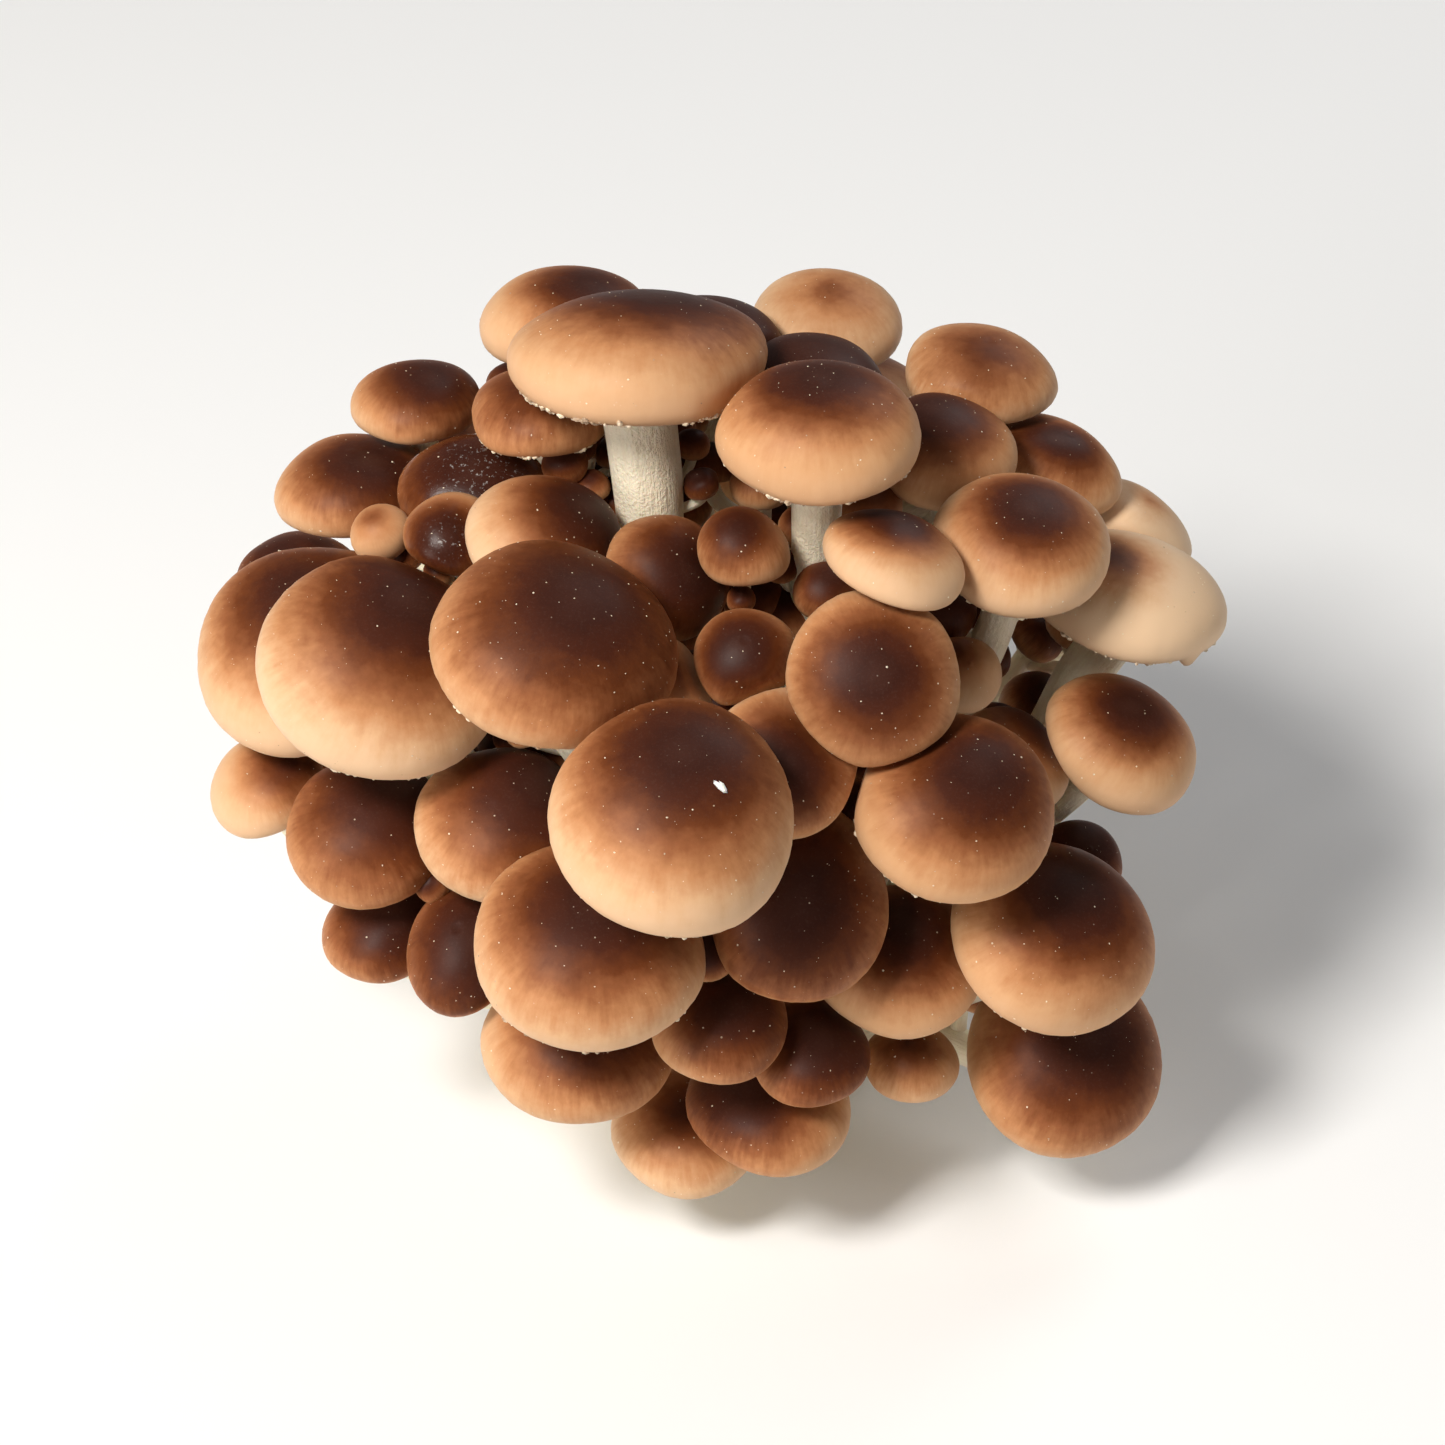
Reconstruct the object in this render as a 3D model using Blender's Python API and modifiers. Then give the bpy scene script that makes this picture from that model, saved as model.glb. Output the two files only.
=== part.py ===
"""Clump of pioppino (black poplar) mushrooms, cut from its block, standing on the cut.

Metres, +Z up. The cut lies at Z = 0 with the origin in its middle, and the clump faces -Y.
"""
import math

import bmesh
import bpy
import numpy as np
from mathutils import Vector

MM = 0.001

# The caps are set out on a view plane: it looks at HEART from EYE mm away, TIP degrees above level.
TIP = 36
EYE = 900
HEART = (0, 4, 69)
BULGE, SPREAD, RISE = 58, 104, 98     # how far the front swells towards the viewer, and its half sizes

GAP = 0.34                            # air left between two caps that grew against each other
SOFT = 1.1                            # how gently a cap flattens against its neighbour
OVERLAP = 1.6                         # how deep two caps are let into each other before they flatten
DROP = 0.24                           # depth of the rolled margin, as a share of the cap's radius

BUTT_RADIUS = 32
BUTT_HEIGHT = 30

OPEN_STEM = 0.255                     # radius of the stem under an open cap, of the cap's radius
STOUT_STEMS = {"top_2": 0.32, "top_7": 0.29, "right_5": 0.32}   # those that show, measured
VEILED_STEM = 0.2                     # the same under a veiled cap
BUTTON_STEM = 0.36                    # and under a button
THINNEST_STEM = 1.6
FINE_STEM = 6.0                       # a stem thicker than this gets more sides
STEM_CLEARANCE = 1.0                  # how far a stem keeps from the cap of another mushroom
SQUARE = 0.6                          # how far a stem leaves its cap squarely, of the stem's radius
BEND = 0.34                           # how long it goes on that way, of the stem's length
STEM_LIFT = 1.5                       # the least air under a stem that runs out low
SET_IN = 0.35                         # how far the top of a stem stops short of its cap

CAP_ROUNDS, ROOT_ROUNDS, STEM_ROUNDS = 150, 200, 260

# name, across, up, radius, height/radius, lean across, lean up, how far it stands out of the swell,
# kind, tone, then for a pressed cap its width/length and the angle of its long side
CAPS = [
    ("top_1", -28, 72.5, 15.5, 0.55, -0.05, 0.88, -6, "veiled", "brown"),
    ("top_2", -15, 65, 23, 0.50, 0.0, 0.925, 2, "open", "brown"),
    ("top_3", -2.5, 69, 13.5, 0.50, 0.1, 0.9, -14, "veiled", "dark"),
    ("top_4", 18.5, 71.5, 14, 0.60, 0.0, 0.8, -22, "veiled", "light"),
    ("top_5", 16.5, 61, 13.5, 0.55, 0.1, 0.85, -8, "veiled", "dark"),
    ("top_6", 46.5, 62, 14, 0.55, 0.18, 0.8, -10, "veiled", "light"),
    ("top_7", 17, 52, 18, 0.62, 0.0, 0.8, 8, "open", "brown"),
    ("top_8", -32.5, 55.5, 13, 0.60, 0.0, 0.86, -6, "veiled", "brown"),
    ("right_1", 40, 48.5, 13.5, 0.60, 0.2, 0.68, -4, "veiled", "dark"),
    ("right_2", 59.5, 47, 14, 0.50, 0.4, 0.72, -10, "veiled", "brown", 0.72, -40),
    ("right_3", 75, 35.5, 11, 0.50, 0.6, 0.72, -16, "veiled", "light"),
    ("right_4", 53.5, 32, 16.5, 0.60, 0.15, 0.72, 6, "open", "brown"),
    ("right_5", 73, 22.5, 18, 0.55, 0.25, 0.84, -4, "open", "light"),
    ("right_6", 43, 8.5, 7.5, 0.70, 0.3, 0.4, -10, "veiled", "brown"),
    ("right_7", 52, -7, 11, 0.60, 0.35, 0.5, -10, "veiled", "brown"),
    ("right_8", 71.5, -4, 15, 0.62, 0.45, 0.62, -4, "veiled", "brown"),
    ("right_9", 64.5, -25, 8, 0.65, 0.3, 0.5, -12, "veiled", "dark"),
    ("right_10", 59, -39, 19.5, 0.66, 0.3, 0.38, 4, "open", "light", 0.9, -30),
    ("right_11", 61.5, -60, 19, 0.66, 0.12, 0.42, -6, "veiled", "dark", 0.95, 80),
    ("mid_1", 31, 29, 13, 0.56, 0.28, 0.8, 0, "veiled", "light"),
    ("mid_2", -10.5, 26, 12, 0.85, 0.4, 0.3, -12, "veiled", "dark"),
    ("mid_3", 3.5, 30.5, 8.5, 0.95, 0.0, 0.78, -8, "veiled", "brown"),
    ("mid_4", 4, 11, 10, 0.80, 0.0, 0.45, -3, "veiled", "dark"),
    ("mid_5", 27, 7.5, 16.5, 0.62, 0.06, 0.12, 7, "veiled", "dark"),
    ("left_1", -55, 57, 12, 0.60, -0.05, 0.86, -18, "veiled", "brown"),
    ("left_2", -66, 42, 14.5, 0.60, -0.05, 0.84, -10, "veiled", "brown"),
    ("left_3", -45, 41, 14, 0.62, -0.05, 0.75, -8, "veiled", "dark"),
    ("left_4", -48.5, 33.5, 9, 0.75, -0.05, 0.6, -2, "veiled", "dark"),
    ("left_5", -32, 32.5, 14.5, 0.62, 0.25, 0.65, -10, "veiled", "brown"),
    ("left_6", -76, 25.5, 11.5, 0.60, -0.1, 0.75, -24, "veiled", "dark"),
    ("left_7", -74, 13, 21, 0.60, -0.15, 0.5, -14, "open", "brown"),
    ("left_8", -61.5, 10, 22, 0.62, 0.22, 0.42, 4, "open", "light"),
    ("left_9", -30.5, 13.5, 22, 0.62, 0.16, 0.6, 10, "open", "brown"),
    ("front_1", 41.5, -15.5, 18.5, 0.64, 0.2, 0.42, 11, "open", "brown"),
    ("front_2", 11.5, -6.5, 14.5, 0.62, 0.05, 0.25, 2.5, "veiled", "dark"),
    ("front_3", -9, 6, 10, 0.65, 0.1, 0.3, -3, "veiled", "light"),
    ("front_4", -9, -17.5, 22.5, 0.70, 0.05, 0.5, 20, "open", "brown"),
    ("front_5", 13.5, -32.5, 19, 0.62, 0.1, 0.25, 0, "veiled", "dark", 0.86, 82),
    ("front_6", -24, -40.5, 21, 0.64, 0.05, 0.6, 4, "open", "light"),
    ("low_1", 31.5, -43, 15.5, 0.62, 0.0, 0.55, -8, "veiled", "dark"),
    ("low_2", -40, -18.5, 15.5, 0.62, -0.05, 0.5, -8, "veiled", "dark"),
    ("low_3", -64, -19.5, 15, 0.62, -0.05, 0.5, -4, "veiled", "brown"),
    ("low_4", -82, -11.5, 10.5, 0.65, -0.2, 0.6, -8, "veiled", "brown"),
    ("low_5", -61, -37.5, 11, 0.65, -0.2, 0.6, -10, "veiled", "dark"),
    ("low_6", -46.5, -41, 13, 0.65, -0.1, 0.5, -8, "veiled", "dark", 0.8, 80),
    ("low_7", -25.5, -57, 17.5, 0.60, -0.05, 0.65, -6, "veiled", "brown"),
    ("low_8", -0.5, -54, 12.5, 0.65, 0.0, 0.6, 1, "veiled", "brown"),
    ("low_9", 16, -59.5, 11, 0.65, 0.0, 0.6, -1, "veiled", "brown"),
    ("low_10", 8.5, -69, 15, 0.60, 0.05, 0.7, -6, "veiled", "brown"),
    ("low_11", -6.5, -73.5, 13.5, 0.60, -0.1, 0.65, -9, "veiled", "brown"),
    ("low_12", 34, -61.5, 8.5, 0.75, 0.05, 0.7, -10, "veiled", "light"),
]

# the side turned away: name, x, y, z, radius, height/radius, lean x, lean y, kind, tone
BACK_CAPS = [
    ("back_1", -52, 49, 93, 17, 0.60, -0.35, 0.35, "veiled", "brown"),
    ("back_2", -18, 66, 106, 20, 0.60, -0.1, 0.4, "open", "brown"),
    ("back_3", 22, 64, 98, 18, 0.60, 0.1, 0.45, "veiled", "light"),
    ("back_4", 57, 49, 88, 17, 0.60, 0.4, 0.35, "veiled", "brown"),
    ("back_5", -36, 65, 67, 15, 0.65, -0.3, 0.6, "veiled", "dark"),
    ("back_6", 8, 73, 71, 16, 0.65, 0.0, 0.65, "veiled", "brown"),
    ("back_7", 44, 63, 63, 14, 0.65, 0.35, 0.6, "veiled", "dark"),
    ("back_8", -71, 34, 64, 14, 0.65, -0.6, 0.3, "veiled", "brown"),
]

# buttons that never grew, in the gaps: across, up, radius, lean across, lean up, set back
BUTTONS = [
    (-38, 60, 4.5, 0.0, 0.8, -32),
    (11, 18.5, 6.0, 0.0, 0.6, -24),
    (-1.5, -42, 5.0, 0.0, 0.5, -26),
    (7, 41.5, 5.5, 0.0, 0.8, -22),
    (-49, -46, 5.5, -0.1, 0.6, -26),
]

TONES = {                             # colour, roughness
    "dark": ((0.060, 0.024, 0.017), 0.42),
    "brown": ((0.165, 0.066, 0.032), 0.47),
    "light": ((0.330, 0.160, 0.075), 0.52),
    "flesh": ((0.640, 0.560, 0.410), 0.72),
}

STEM_SHAPE = np.array([1.0, 0.92, 0.87, 0.85, 0.85, 0.84, 0.8])  # thickness of a stem down its length

# caps that grew hard against each other: how deep they are let into each other, and how much of it the
# first one gives way
HARD_PRESSED = {
    ("front_2", "front_4"): (7.5, 0.8),
    ("front_2", "mid_5"): (8.5, 0.5),
    ("front_2", "mid_4"): (5.5, 0.4),
    ("front_2", "front_5"): (8.5, 0.8),
    ("front_2", "front_1"): (2.5, 0.5),
    ("mid_5", "front_1"): (8.0, 0.5),
    ("mid_5", "mid_4"): (4.0, 0.4),
    ("mid_5", "mid_1"): (5.0, 0.7),
    ("mid_5", "right_6"): (6.0, 0.1),
    ("front_5", "front_4"): (8.5, 0.8),
    ("front_5", "front_1"): (5.0, 0.5),
    ("front_3", "left_9"): (9.0, 0.9),
    ("front_3", "front_4"): (9.0, 0.9),
    ("front_3", "mid_4"): (6.0, 0.8),
    ("front_3", "mid_2"): (6.0, 0.5),
    ("front_3", "front_2"): (6.0, 0.8),
}

# half outline of a cap: distance from the axis, share of the height above, share of the roll below
DOME = [(0.0, 1.0, 0.0), (0.48, 0.877, 0.0), (0.81, 0.586, 0.0), (1.0, 0.0, 0.0),
        (0.975, 0.0, -0.62), (0.865, 0.0, -1.0)]
GILLS = [(0.79, 0.0, -0.62), (0.27, 0.0, -0.62), (0.0, 0.0, -0.62)]
VEIL = [(0.27, 0.0, -1.22), (0.0, 0.0, -1.22)]
GILL_RELIEF = 0.07                    # half the height of the folds under an open cap, of its radius

# a finer outline of the same cap, for finding how close two caps come
HULL = np.array([(0, 1, 0), (0.2, 0.98, 0), (0.4, 0.917, 0), (0.6, 0.8, 0), (0.75, 0.661, 0),
                 (0.87, 0.493, 0), (0.96, 0.28, 0), (1, 0, 0), (0.985, 0, -0.55),
                 (0.93, 0, -0.9), (0.865, 0, -1), (0.27, 0, -1.22)])


def unit(rows):
    return rows / np.linalg.norm(rows, axis=-1, keepdims=True)


# Where the caps are.

tip = math.radians(TIP)
ACROSS = np.array([1.0, 0.0, 0.0])
UP = np.array([0.0, math.sin(tip), math.cos(tip)])
OUT = np.array([0.0, -math.cos(tip), math.sin(tip)])
HEART = np.array(HEART, float)
VIEWER = HEART + EYE * OUT


def on_view(across, up, stands):
    """The point that shows at across, up on the view plane and stands out by so much."""
    out = BULGE * (1 - (across / SPREAD) ** 2 - (up / RISE) ** 2) + stands
    near = 1 - out / EYE
    return HEART + near * (across * ACROSS + up * UP) + out * OUT, near


def lean_on_view(across, up):
    return across * ACROSS + up * UP + math.sqrt(1 - across * across - up * up) * OUT


names, kinds, tones, centre, radius, axis, width, turn, slide, height = ([] for _ in range(10))
for name, across, up, r, h, lean_a, lean_u, stands, kind, tone, *pressed in CAPS:
    point, near = on_view(across, up, stands)
    names.append(name)
    kinds.append(kind)
    tones.append(tone)
    centre.append(point)
    radius.append(r * near)
    height.append(r * near * h)
    axis.append(lean_on_view(lean_a, lean_u))
    width.append(pressed[0] if pressed else 1.0)
    turn.append(math.radians(pressed[1]) if pressed else 0.0)
    slide.append(VIEWER - point)
for name, x, y, z, r, h, lean_x, lean_y, kind, tone in BACK_CAPS:
    names.append(name)
    kinds.append(kind)
    tones.append(tone)
    centre.append(np.array([x, y, z], float))
    radius.append(r)
    height.append(r * h)
    axis.append(np.array([lean_x, lean_y, math.sqrt(1 - lean_x ** 2 - lean_y ** 2)]))
    width.append(1.0)
    turn.append(0.0)
    slide.append(np.array([x, y, z - 30.0]))
centre, radius, height, axis = np.array(centre), np.array(radius), np.array(height), np.array(axis)
width, turn, slide = np.array(width), np.array(turn), unit(np.array(slide))
count = len(names)
roll = DROP * radius
side = np.cos(turn)[:, None] * ACROSS + np.sin(turn)[:, None] * UP
side = unit(side - (side * axis).sum(1)[:, None] * axis)
frame = np.stack([side, np.cross(axis, side), axis], 1)       # the rows are each cap's own x, y, z


def farthest(i, way):
    """The point of cap i, from its centre, that lies farthest along a direction."""
    local = np.einsum("mij,mj->mi", frame[i], way)
    local[:, 1] *= width[i]
    flat = np.maximum(np.hypot(local[:, 0], local[:, 1]), 1e-9)
    rho = HULL[:, 0] * radius[i][:, None]
    z = HULL[:, 1] * height[i][:, None] + HULL[:, 2] * roll[i][:, None]
    k = np.argmax(rho * flat[:, None] + z * local[:, 2:3], axis=1)
    row = np.arange(len(i))
    point = np.c_[local[:, :2] / flat[:, None] * rho[row, k][:, None], z[row, k]]
    point[:, 1] *= width[i]
    return np.einsum("mij,mi->mj", frame[i], point)


def between(at, i, j, steps):
    """The widest gap between each pair of caps, and the direction it is measured in."""
    apart = at[j] - at[i]
    way = unit(apart)
    best, best_way = np.full(len(i), -1e9), way.copy()
    for k in range(steps):
        reach = apart + farthest(j, -way) - farthest(i, way)
        gap = (reach * way).sum(1)
        better = gap > best
        best = np.where(better, gap, best)
        best_way[better] = way[better]
        swing = (reach - gap[:, None] * way) / (radius[i] + radius[j])[:, None]
        way = unit(best_way + 0.5 * 0.92 ** k * swing)
    return best, best_way


def neighbours(at, slack):
    i, j = np.triu_indices(count, 1)
    near = np.linalg.norm(at[i] - at[j], axis=1) < radius[i] + radius[j] + slack
    return i[near], j[near]


# Caps that meet slide apart, mostly towards or away from the viewer, so each one shows where it should.
let_in, yields = np.full((count, count), OVERLAP), np.full((count, count), 0.5)
for (one, other), (deep, share) in HARD_PRESSED.items():
    one, other = names.index(one), names.index(other)
    let_in[one, other] = let_in[other, one] = deep
    yields[one, other], yields[other, one] = share, 1 - share
wanted = centre.copy()
for _ in range(CAP_ROUNDS):
    i, j = neighbours(centre, 0)
    gap, way = between(centre, i, j, 20)
    push = np.clip(-let_in[i, j] - gap, 0, None)
    moves = []
    for k in (i, j):
        along = (way * slide[k]).sum(1)[:, None] * slide[k]
        moves.append(along + 0.06 * (way - along))
    give = sum((m * way).sum(1) for m in moves) + 0.02
    push = (0.35 * push / give)[:, None]
    np.add.at(centre, i, -push * moves[0])
    np.add.at(centre, j, push * moves[1])
    home = wanted - centre
    along = (home * slide).sum(1)[:, None] * slide
    centre += 0.10 * (home - along) + 0.01 * along

walls = [[] for _ in range(count)]    # the planes each cap is flattened against
i, j = neighbours(centre, 4)
gap, way = between(centre, i, j, 60)
for a, b, g, w in zip(i, j, gap, way):
    if g < 3:
        middle = centre[a] + farthest(np.array([a]), w[None])[0] + w * g * yields[a, b]
        walls[a].append((middle, w))
        walls[b].append((middle, -w))


def press(points, k):
    """Flatten the points of cap k softly against each of its neighbours."""
    for soft in (SOFT, 0.3 * SOFT, 0.1 * SOFT):
        for middle, way in walls[k]:
            beyond = (points - middle) @ way + GAP / 2
            kept = -soft * np.logaddexp(0, -beyond / soft)
            points = points + (kept - beyond)[:, None] * way
    return points


# The stems, from the hub under each cap down to the butt.

rng = np.random.default_rng(11)
hub_drop = np.array([(0.62 if kind == "open" else 1.22) for kind in kinds]) * roll + SET_IN
hubs = list(centre - axis * hub_drop[:, None])
leans = list(axis)
stem_radius = [STOUT_STEMS.get(name, OPEN_STEM) * r if kind == "open" else max(VEILED_STEM * r, THINNEST_STEM)
               for name, r, kind in zip(names, radius, kinds)]
for across, up, r, lean_a, lean_u, stands in BUTTONS:
    hubs.append(on_view(across, up, stands)[0])
    leans.append(lean_on_view(lean_a, lean_u))
    stem_radius.append(BUTTON_STEM * r)
hubs, leans, stem_radius = np.array(hubs), np.array(leans), np.array(stem_radius)
stems = len(hubs)

# Roots spread over the butt in the same order as the caps above, pushed apart so each has its own place.
plan = hubs[:, :2] - np.array([0, 8])
roots = plan * (0.36 - 0.0011 * np.linalg.norm(plan, axis=1))[:, None]
for _ in range(ROOT_ROUNDS):
    d = roots[:, None] - roots[None]
    dist = np.linalg.norm(d, axis=2) + 1e-6
    room = 0.95 * (stem_radius[:, None] + stem_radius[None])
    push = np.clip(room - dist, 0, None) / dist
    np.fill_diagonal(push, 0)
    roots += 0.2 * (d * push[..., None]).sum(1)
    far = np.linalg.norm(roots, axis=1)
    roots *= np.minimum(1, (BUTT_RADIUS - 5) / np.maximum(far, 1e-6))[:, None]
rise = 0.80 * BUTT_HEIGHT * np.sqrt(1 - (np.linalg.norm(roots, axis=1) / BUTT_RADIUS) ** 2) - 3
roots = np.c_[roots, np.clip(np.minimum(rise, 0.5 * hubs[:, 2]), 6, None)]

# A stem is a bent line of RINGS points: the hub, one square below it, then free ones down to the root.
RINGS = 7
paths = np.zeros((stems, RINGS, 3))
straight = np.maximum(THINNEST_STEM, SQUARE * stem_radius)[:, None]
below = hubs - leans * straight
reach = np.linalg.norm(below - roots, axis=1)[:, None]
handle = below - leans * BEND * reach
rising = roots + unit(np.c_[0.016 * roots[:, :2], np.ones(stems)]) * BEND * reach
for k, t in enumerate((0, 0.14, 0.33, 0.55, 0.77, 1)):
    paths[:, k + 1] = ((1 - t) ** 3 * below + 3 * t * (1 - t) ** 2 * handle
                       + 3 * t * t * (1 - t) * rising + t ** 3 * roots)
paths[:, 0] = hubs
paths[:, :, 2] = np.maximum(paths[:, :, 2], stem_radius[:, None] + STEM_LIFT)
unhindered = paths.copy()

# Stems bend round the caps of their neighbours and round each other, felt at five places per length.
spots = np.array([seg + f for seg in range(RINGS - 1) for f in (0, 0.2, 0.4, 0.6, 0.8)] + [RINGS - 1.0])
share_of = np.clip(1 - np.abs(spots[:, None] - np.arange(RINGS)), 0, None)
owner = np.repeat(np.arange(stems), len(spots))
thick = (stem_radius[:, None] * (share_of @ STEM_SHAPE)[None]).ravel()
spot = np.tile(spots, stems)
sample = np.nonzero((spot > 1) & (spot % 1 < 0.1))[0]
rival = owner[sample][:, None] == owner[sample][None]
size_up = np.stack([radius, radius * width, height], 1)
size_down = np.stack([radius, radius * width, 1.22 * roll], 1)
for turn_no in range(STEM_ROUNDS):
    flat = np.einsum("sr,krc->ksc", share_of, paths).reshape(-1, 3)
    shift = np.zeros_like(flat)
    if turn_no < 180:
        near = flat[sample]
        d = near[:, None] - near[None]
        dist = np.linalg.norm(d, axis=2) + 1e-6
        close = np.clip(0.95 * (thick[sample][:, None] + thick[sample][None]) - dist, 0, None) / dist
        close[rival] = 0
        shift[sample] += 0.2 * (d * close[..., None]).sum(1)
    for c in range(count):
        local = (flat - centre[c]) @ frame[c].T
        size = np.where(local[:, 2:] > 0, size_up[c], size_down[c]) + (thick + STEM_CLEARANCE)[:, None]
        f = np.linalg.norm(local / size, axis=1)
        inside = (f < 1) & (owner != c)
        moved = local[inside] * (1 / np.maximum(f[inside], 0.3) - 1)[:, None]
        shift[inside] += 0.9 * moved @ frame[c]
    felt = np.einsum("sr,ksc->krc", share_of ** 2, shift.reshape(stems, -1, 3))
    paths[:, 2:-1] += (felt / (share_of ** 2).sum(0)[None, :, None])[:, 2:-1] * 1.6
    if turn_no < 230:
        bent = paths - unhindered
        paths[:, 2:-1] += 0.16 * (bent[:, 1:-2] + bent[:, 3:] - 2 * bent[:, 2:-1])
    paths[:, :, 2] = np.maximum(paths[:, :, 2], stem_radius[:, None] + STEM_LIFT)


# The solids.

for old in list(bpy.data.objects):
    bpy.data.objects.remove(old)
clump = bpy.data.collections.new("pioppino_cluster")
bpy.context.scene.collection.children.link(clump)
grown = bpy.data.collections.new("grown_together")
bpy.context.scene.collection.children.link(grown)

skins = {}
for tone, (colour, rough) in TONES.items():
    skin = bpy.data.materials.new("mushroom_" + tone)
    skin.use_nodes = True
    shader = skin.node_tree.nodes["Principled BSDF"]
    shader.inputs["Base Color"].default_value = (*colour, 1)
    shader.inputs["Roughness"].default_value = rough
    shader.inputs["Metallic"].default_value = 0
    skins[tone] = skin


def evaluated(obj):
    """The finished mesh of an object with modifiers or of a curve; the object is dropped."""
    bpy.context.view_layer.update()
    mesh = bpy.data.meshes.new_from_object(obj.evaluated_get(bpy.context.evaluated_depsgraph_get()))
    bpy.data.objects.remove(obj)
    return mesh


def turned(name, outline, sides):
    """Turn a half outline of (distance, height) in millimetres round the Z axis into a closed mesh."""
    mesh = bpy.data.meshes.new(name)
    mesh.from_pydata([(d * MM, 0, z * MM) for d, z in outline],
                     [(k, k + 1) for k in range(len(outline) - 1)], [])
    obj = bpy.data.objects.new(name, mesh)
    grown.objects.link(obj)
    screw = obj.modifiers.new("turn", "SCREW")
    screw.axis = "Z"
    screw.steps = screw.render_steps = sides
    screw.use_merge_vertices = True
    screw.merge_threshold = 0.00001
    screw.use_normal_calculate = True
    return evaluated(obj)


def points_of(mesh):
    flat = np.empty(len(mesh.vertices) * 3)
    mesh.vertices.foreach_get("co", flat)
    return flat.reshape(-1, 3) / MM


def set_points(mesh, points):
    mesh.vertices.foreach_set("co", (points * MM).ravel())
    mesh.update()


def finish(mesh, name, skin, home):
    mesh.materials.clear()
    mesh.materials.append(skins[skin])
    mesh.polygons.foreach_set("use_smooth", [True] * len(mesh.polygons))
    obj = bpy.data.objects.new(name, mesh)
    home.objects.link(obj)
    return obj


for k, name in enumerate(names):
    r = radius[k]
    sides = 20 if r > 17.2 else 16 if r > 14.2 else 12
    outline = DOME + (GILLS if kinds[k] == "open" else VEIL)
    mesh = turned("cap_" + name, [(d * r, h * height[k] + m * roll[k]) for d, h, m in outline], sides)
    points = points_of(mesh)
    around = np.arctan2(points[:, 1], points[:, 0])
    share = np.hypot(points[:, 0], points[:, 1]) / r
    if kinds[k] == "open":
        fold = np.where(np.round(around / math.tau * sides).astype(int) % 2 == 0, 1, -1)
        under = (points[:, 2] < -0.5 * roll[k]) & (share > 0.5) & (share < 0.82)
        points[under, 2] += (GILL_RELIEF * r * fold)[under]
    # no cap is quite round: it has two or three shallow lobes and a slightly wavy margin
    lobes = rng.uniform(0, math.tau, 4)
    swell = 0.022 * np.sin(2 * around + lobes[0]) + 0.016 * np.sin(3 * around + lobes[1])
    points[:, :2] *= (1 + swell * np.clip(share / 0.9, 0, 1) ** 2)[:, None]
    wave = 0.035 * r * np.sin(2 * around + lobes[2]) + 0.02 * r * np.sin(4 * around + lobes[3])
    points[:, 2] += wave * np.clip((share - 0.55) / 0.45, 0, 1) ** 2
    points[:, 1] *= width[k]
    points = points @ frame[k] + centre[k]
    points = press(points, k)
    middle = centre[k]
    set_points(mesh, points - middle)
    cap = finish(mesh, "cap_" + name, tones[k], clump)
    cap.location = Vector(middle) * MM


def tube(name, path, widths, resolution):
    """A round stem of changing thickness along a path, both in millimetres, closed at its ends."""
    curve = bpy.data.curves.new(name, "CURVE")
    curve.dimensions = "3D"
    curve.bevel_depth = MM
    curve.bevel_resolution = resolution
    curve.use_fill_caps = True
    line = curve.splines.new("POLY")
    line.points.add(len(path) - 1)
    for p, place, w in zip(line.points, path, widths):
        p.co = (*(place * MM), 1)
        p.radius = w
    obj = bpy.data.objects.new(name, curve)
    grown.objects.link(obj)
    mesh = evaluated(obj)
    weld = bmesh.new()
    weld.from_mesh(mesh)
    bmesh.ops.remove_doubles(weld, verts=weld.verts, dist=0.000001)
    weld.to_mesh(mesh)
    weld.free()
    return mesh


for k in range(stems):
    w = stem_radius[k]
    kept = [0, 1, 2, 4, 5, 6] if reach[k] < 45 else slice(None)
    mesh = tube(f"stem_{k + 1}", paths[k][kept], (w * STEM_SHAPE)[kept], 2 if w > FINE_STEM else 1)
    finish(mesh, f"stem_{k + 1}", "flesh", grown)

for k, (across, up, r, lean_a, lean_u, stands) in enumerate(BUTTONS):
    mesh = turned(f"button_{k + 1}", [(d * r, h * 0.85 * r + m * 0.4 * r) for d, h, m in DOME + VEIL], 10)
    lean = leans[count + k]
    x = unit(np.cross(UP, lean))
    set_points(mesh, points_of(mesh) @ np.stack([x, np.cross(lean, x), lean]) + hubs[count + k] + 0.3 * r * lean)
    finish(mesh, f"button_{k + 1}", "flesh", grown)

outline = [(0, 1), (0.42, 0.93), (0.75, 0.74), (0.96, 0.45), (1, 0.2), (0.93, 0), (0, 0)]
mesh = turned("butt", [(d * BUTT_RADIUS, h * BUTT_HEIGHT) for d, h in outline], 20)
points = points_of(mesh)
around = np.arctan2(points[:, 1], points[:, 0])
points[:, :2] *= (1 + 0.05 * np.sin(3 * around + 0.6) + 0.03 * np.sin(5 * around + 2.1))[:, None]
set_points(mesh, points)
butt = finish(mesh, "stems_and_butt", "flesh", clump)

join = butt.modifiers.new("grow_together", "BOOLEAN")
join.operation = "UNION"
join.operand_type = "COLLECTION"
join.collection = grown
join.solver = "EXACT"
bpy.context.view_layer.update()
joined = bpy.data.meshes.new_from_object(butt.evaluated_get(bpy.context.evaluated_depsgraph_get()))
butt.modifiers.clear()
butt.data = joined
joined.materials.clear()
joined.materials.append(skins["flesh"])
joined.polygons.foreach_set("use_smooth", [True] * len(joined.polygons))
for piece in list(grown.objects):
    bpy.data.objects.remove(piece)
bpy.data.collections.remove(grown)
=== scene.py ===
"""A clump of pioppino (black poplar) mushrooms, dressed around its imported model.

Metres, +Z up. The clump stands on its cut at Z = 0 and faces -Y. Sizes named here are in millimetres.
"""

import math

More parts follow.
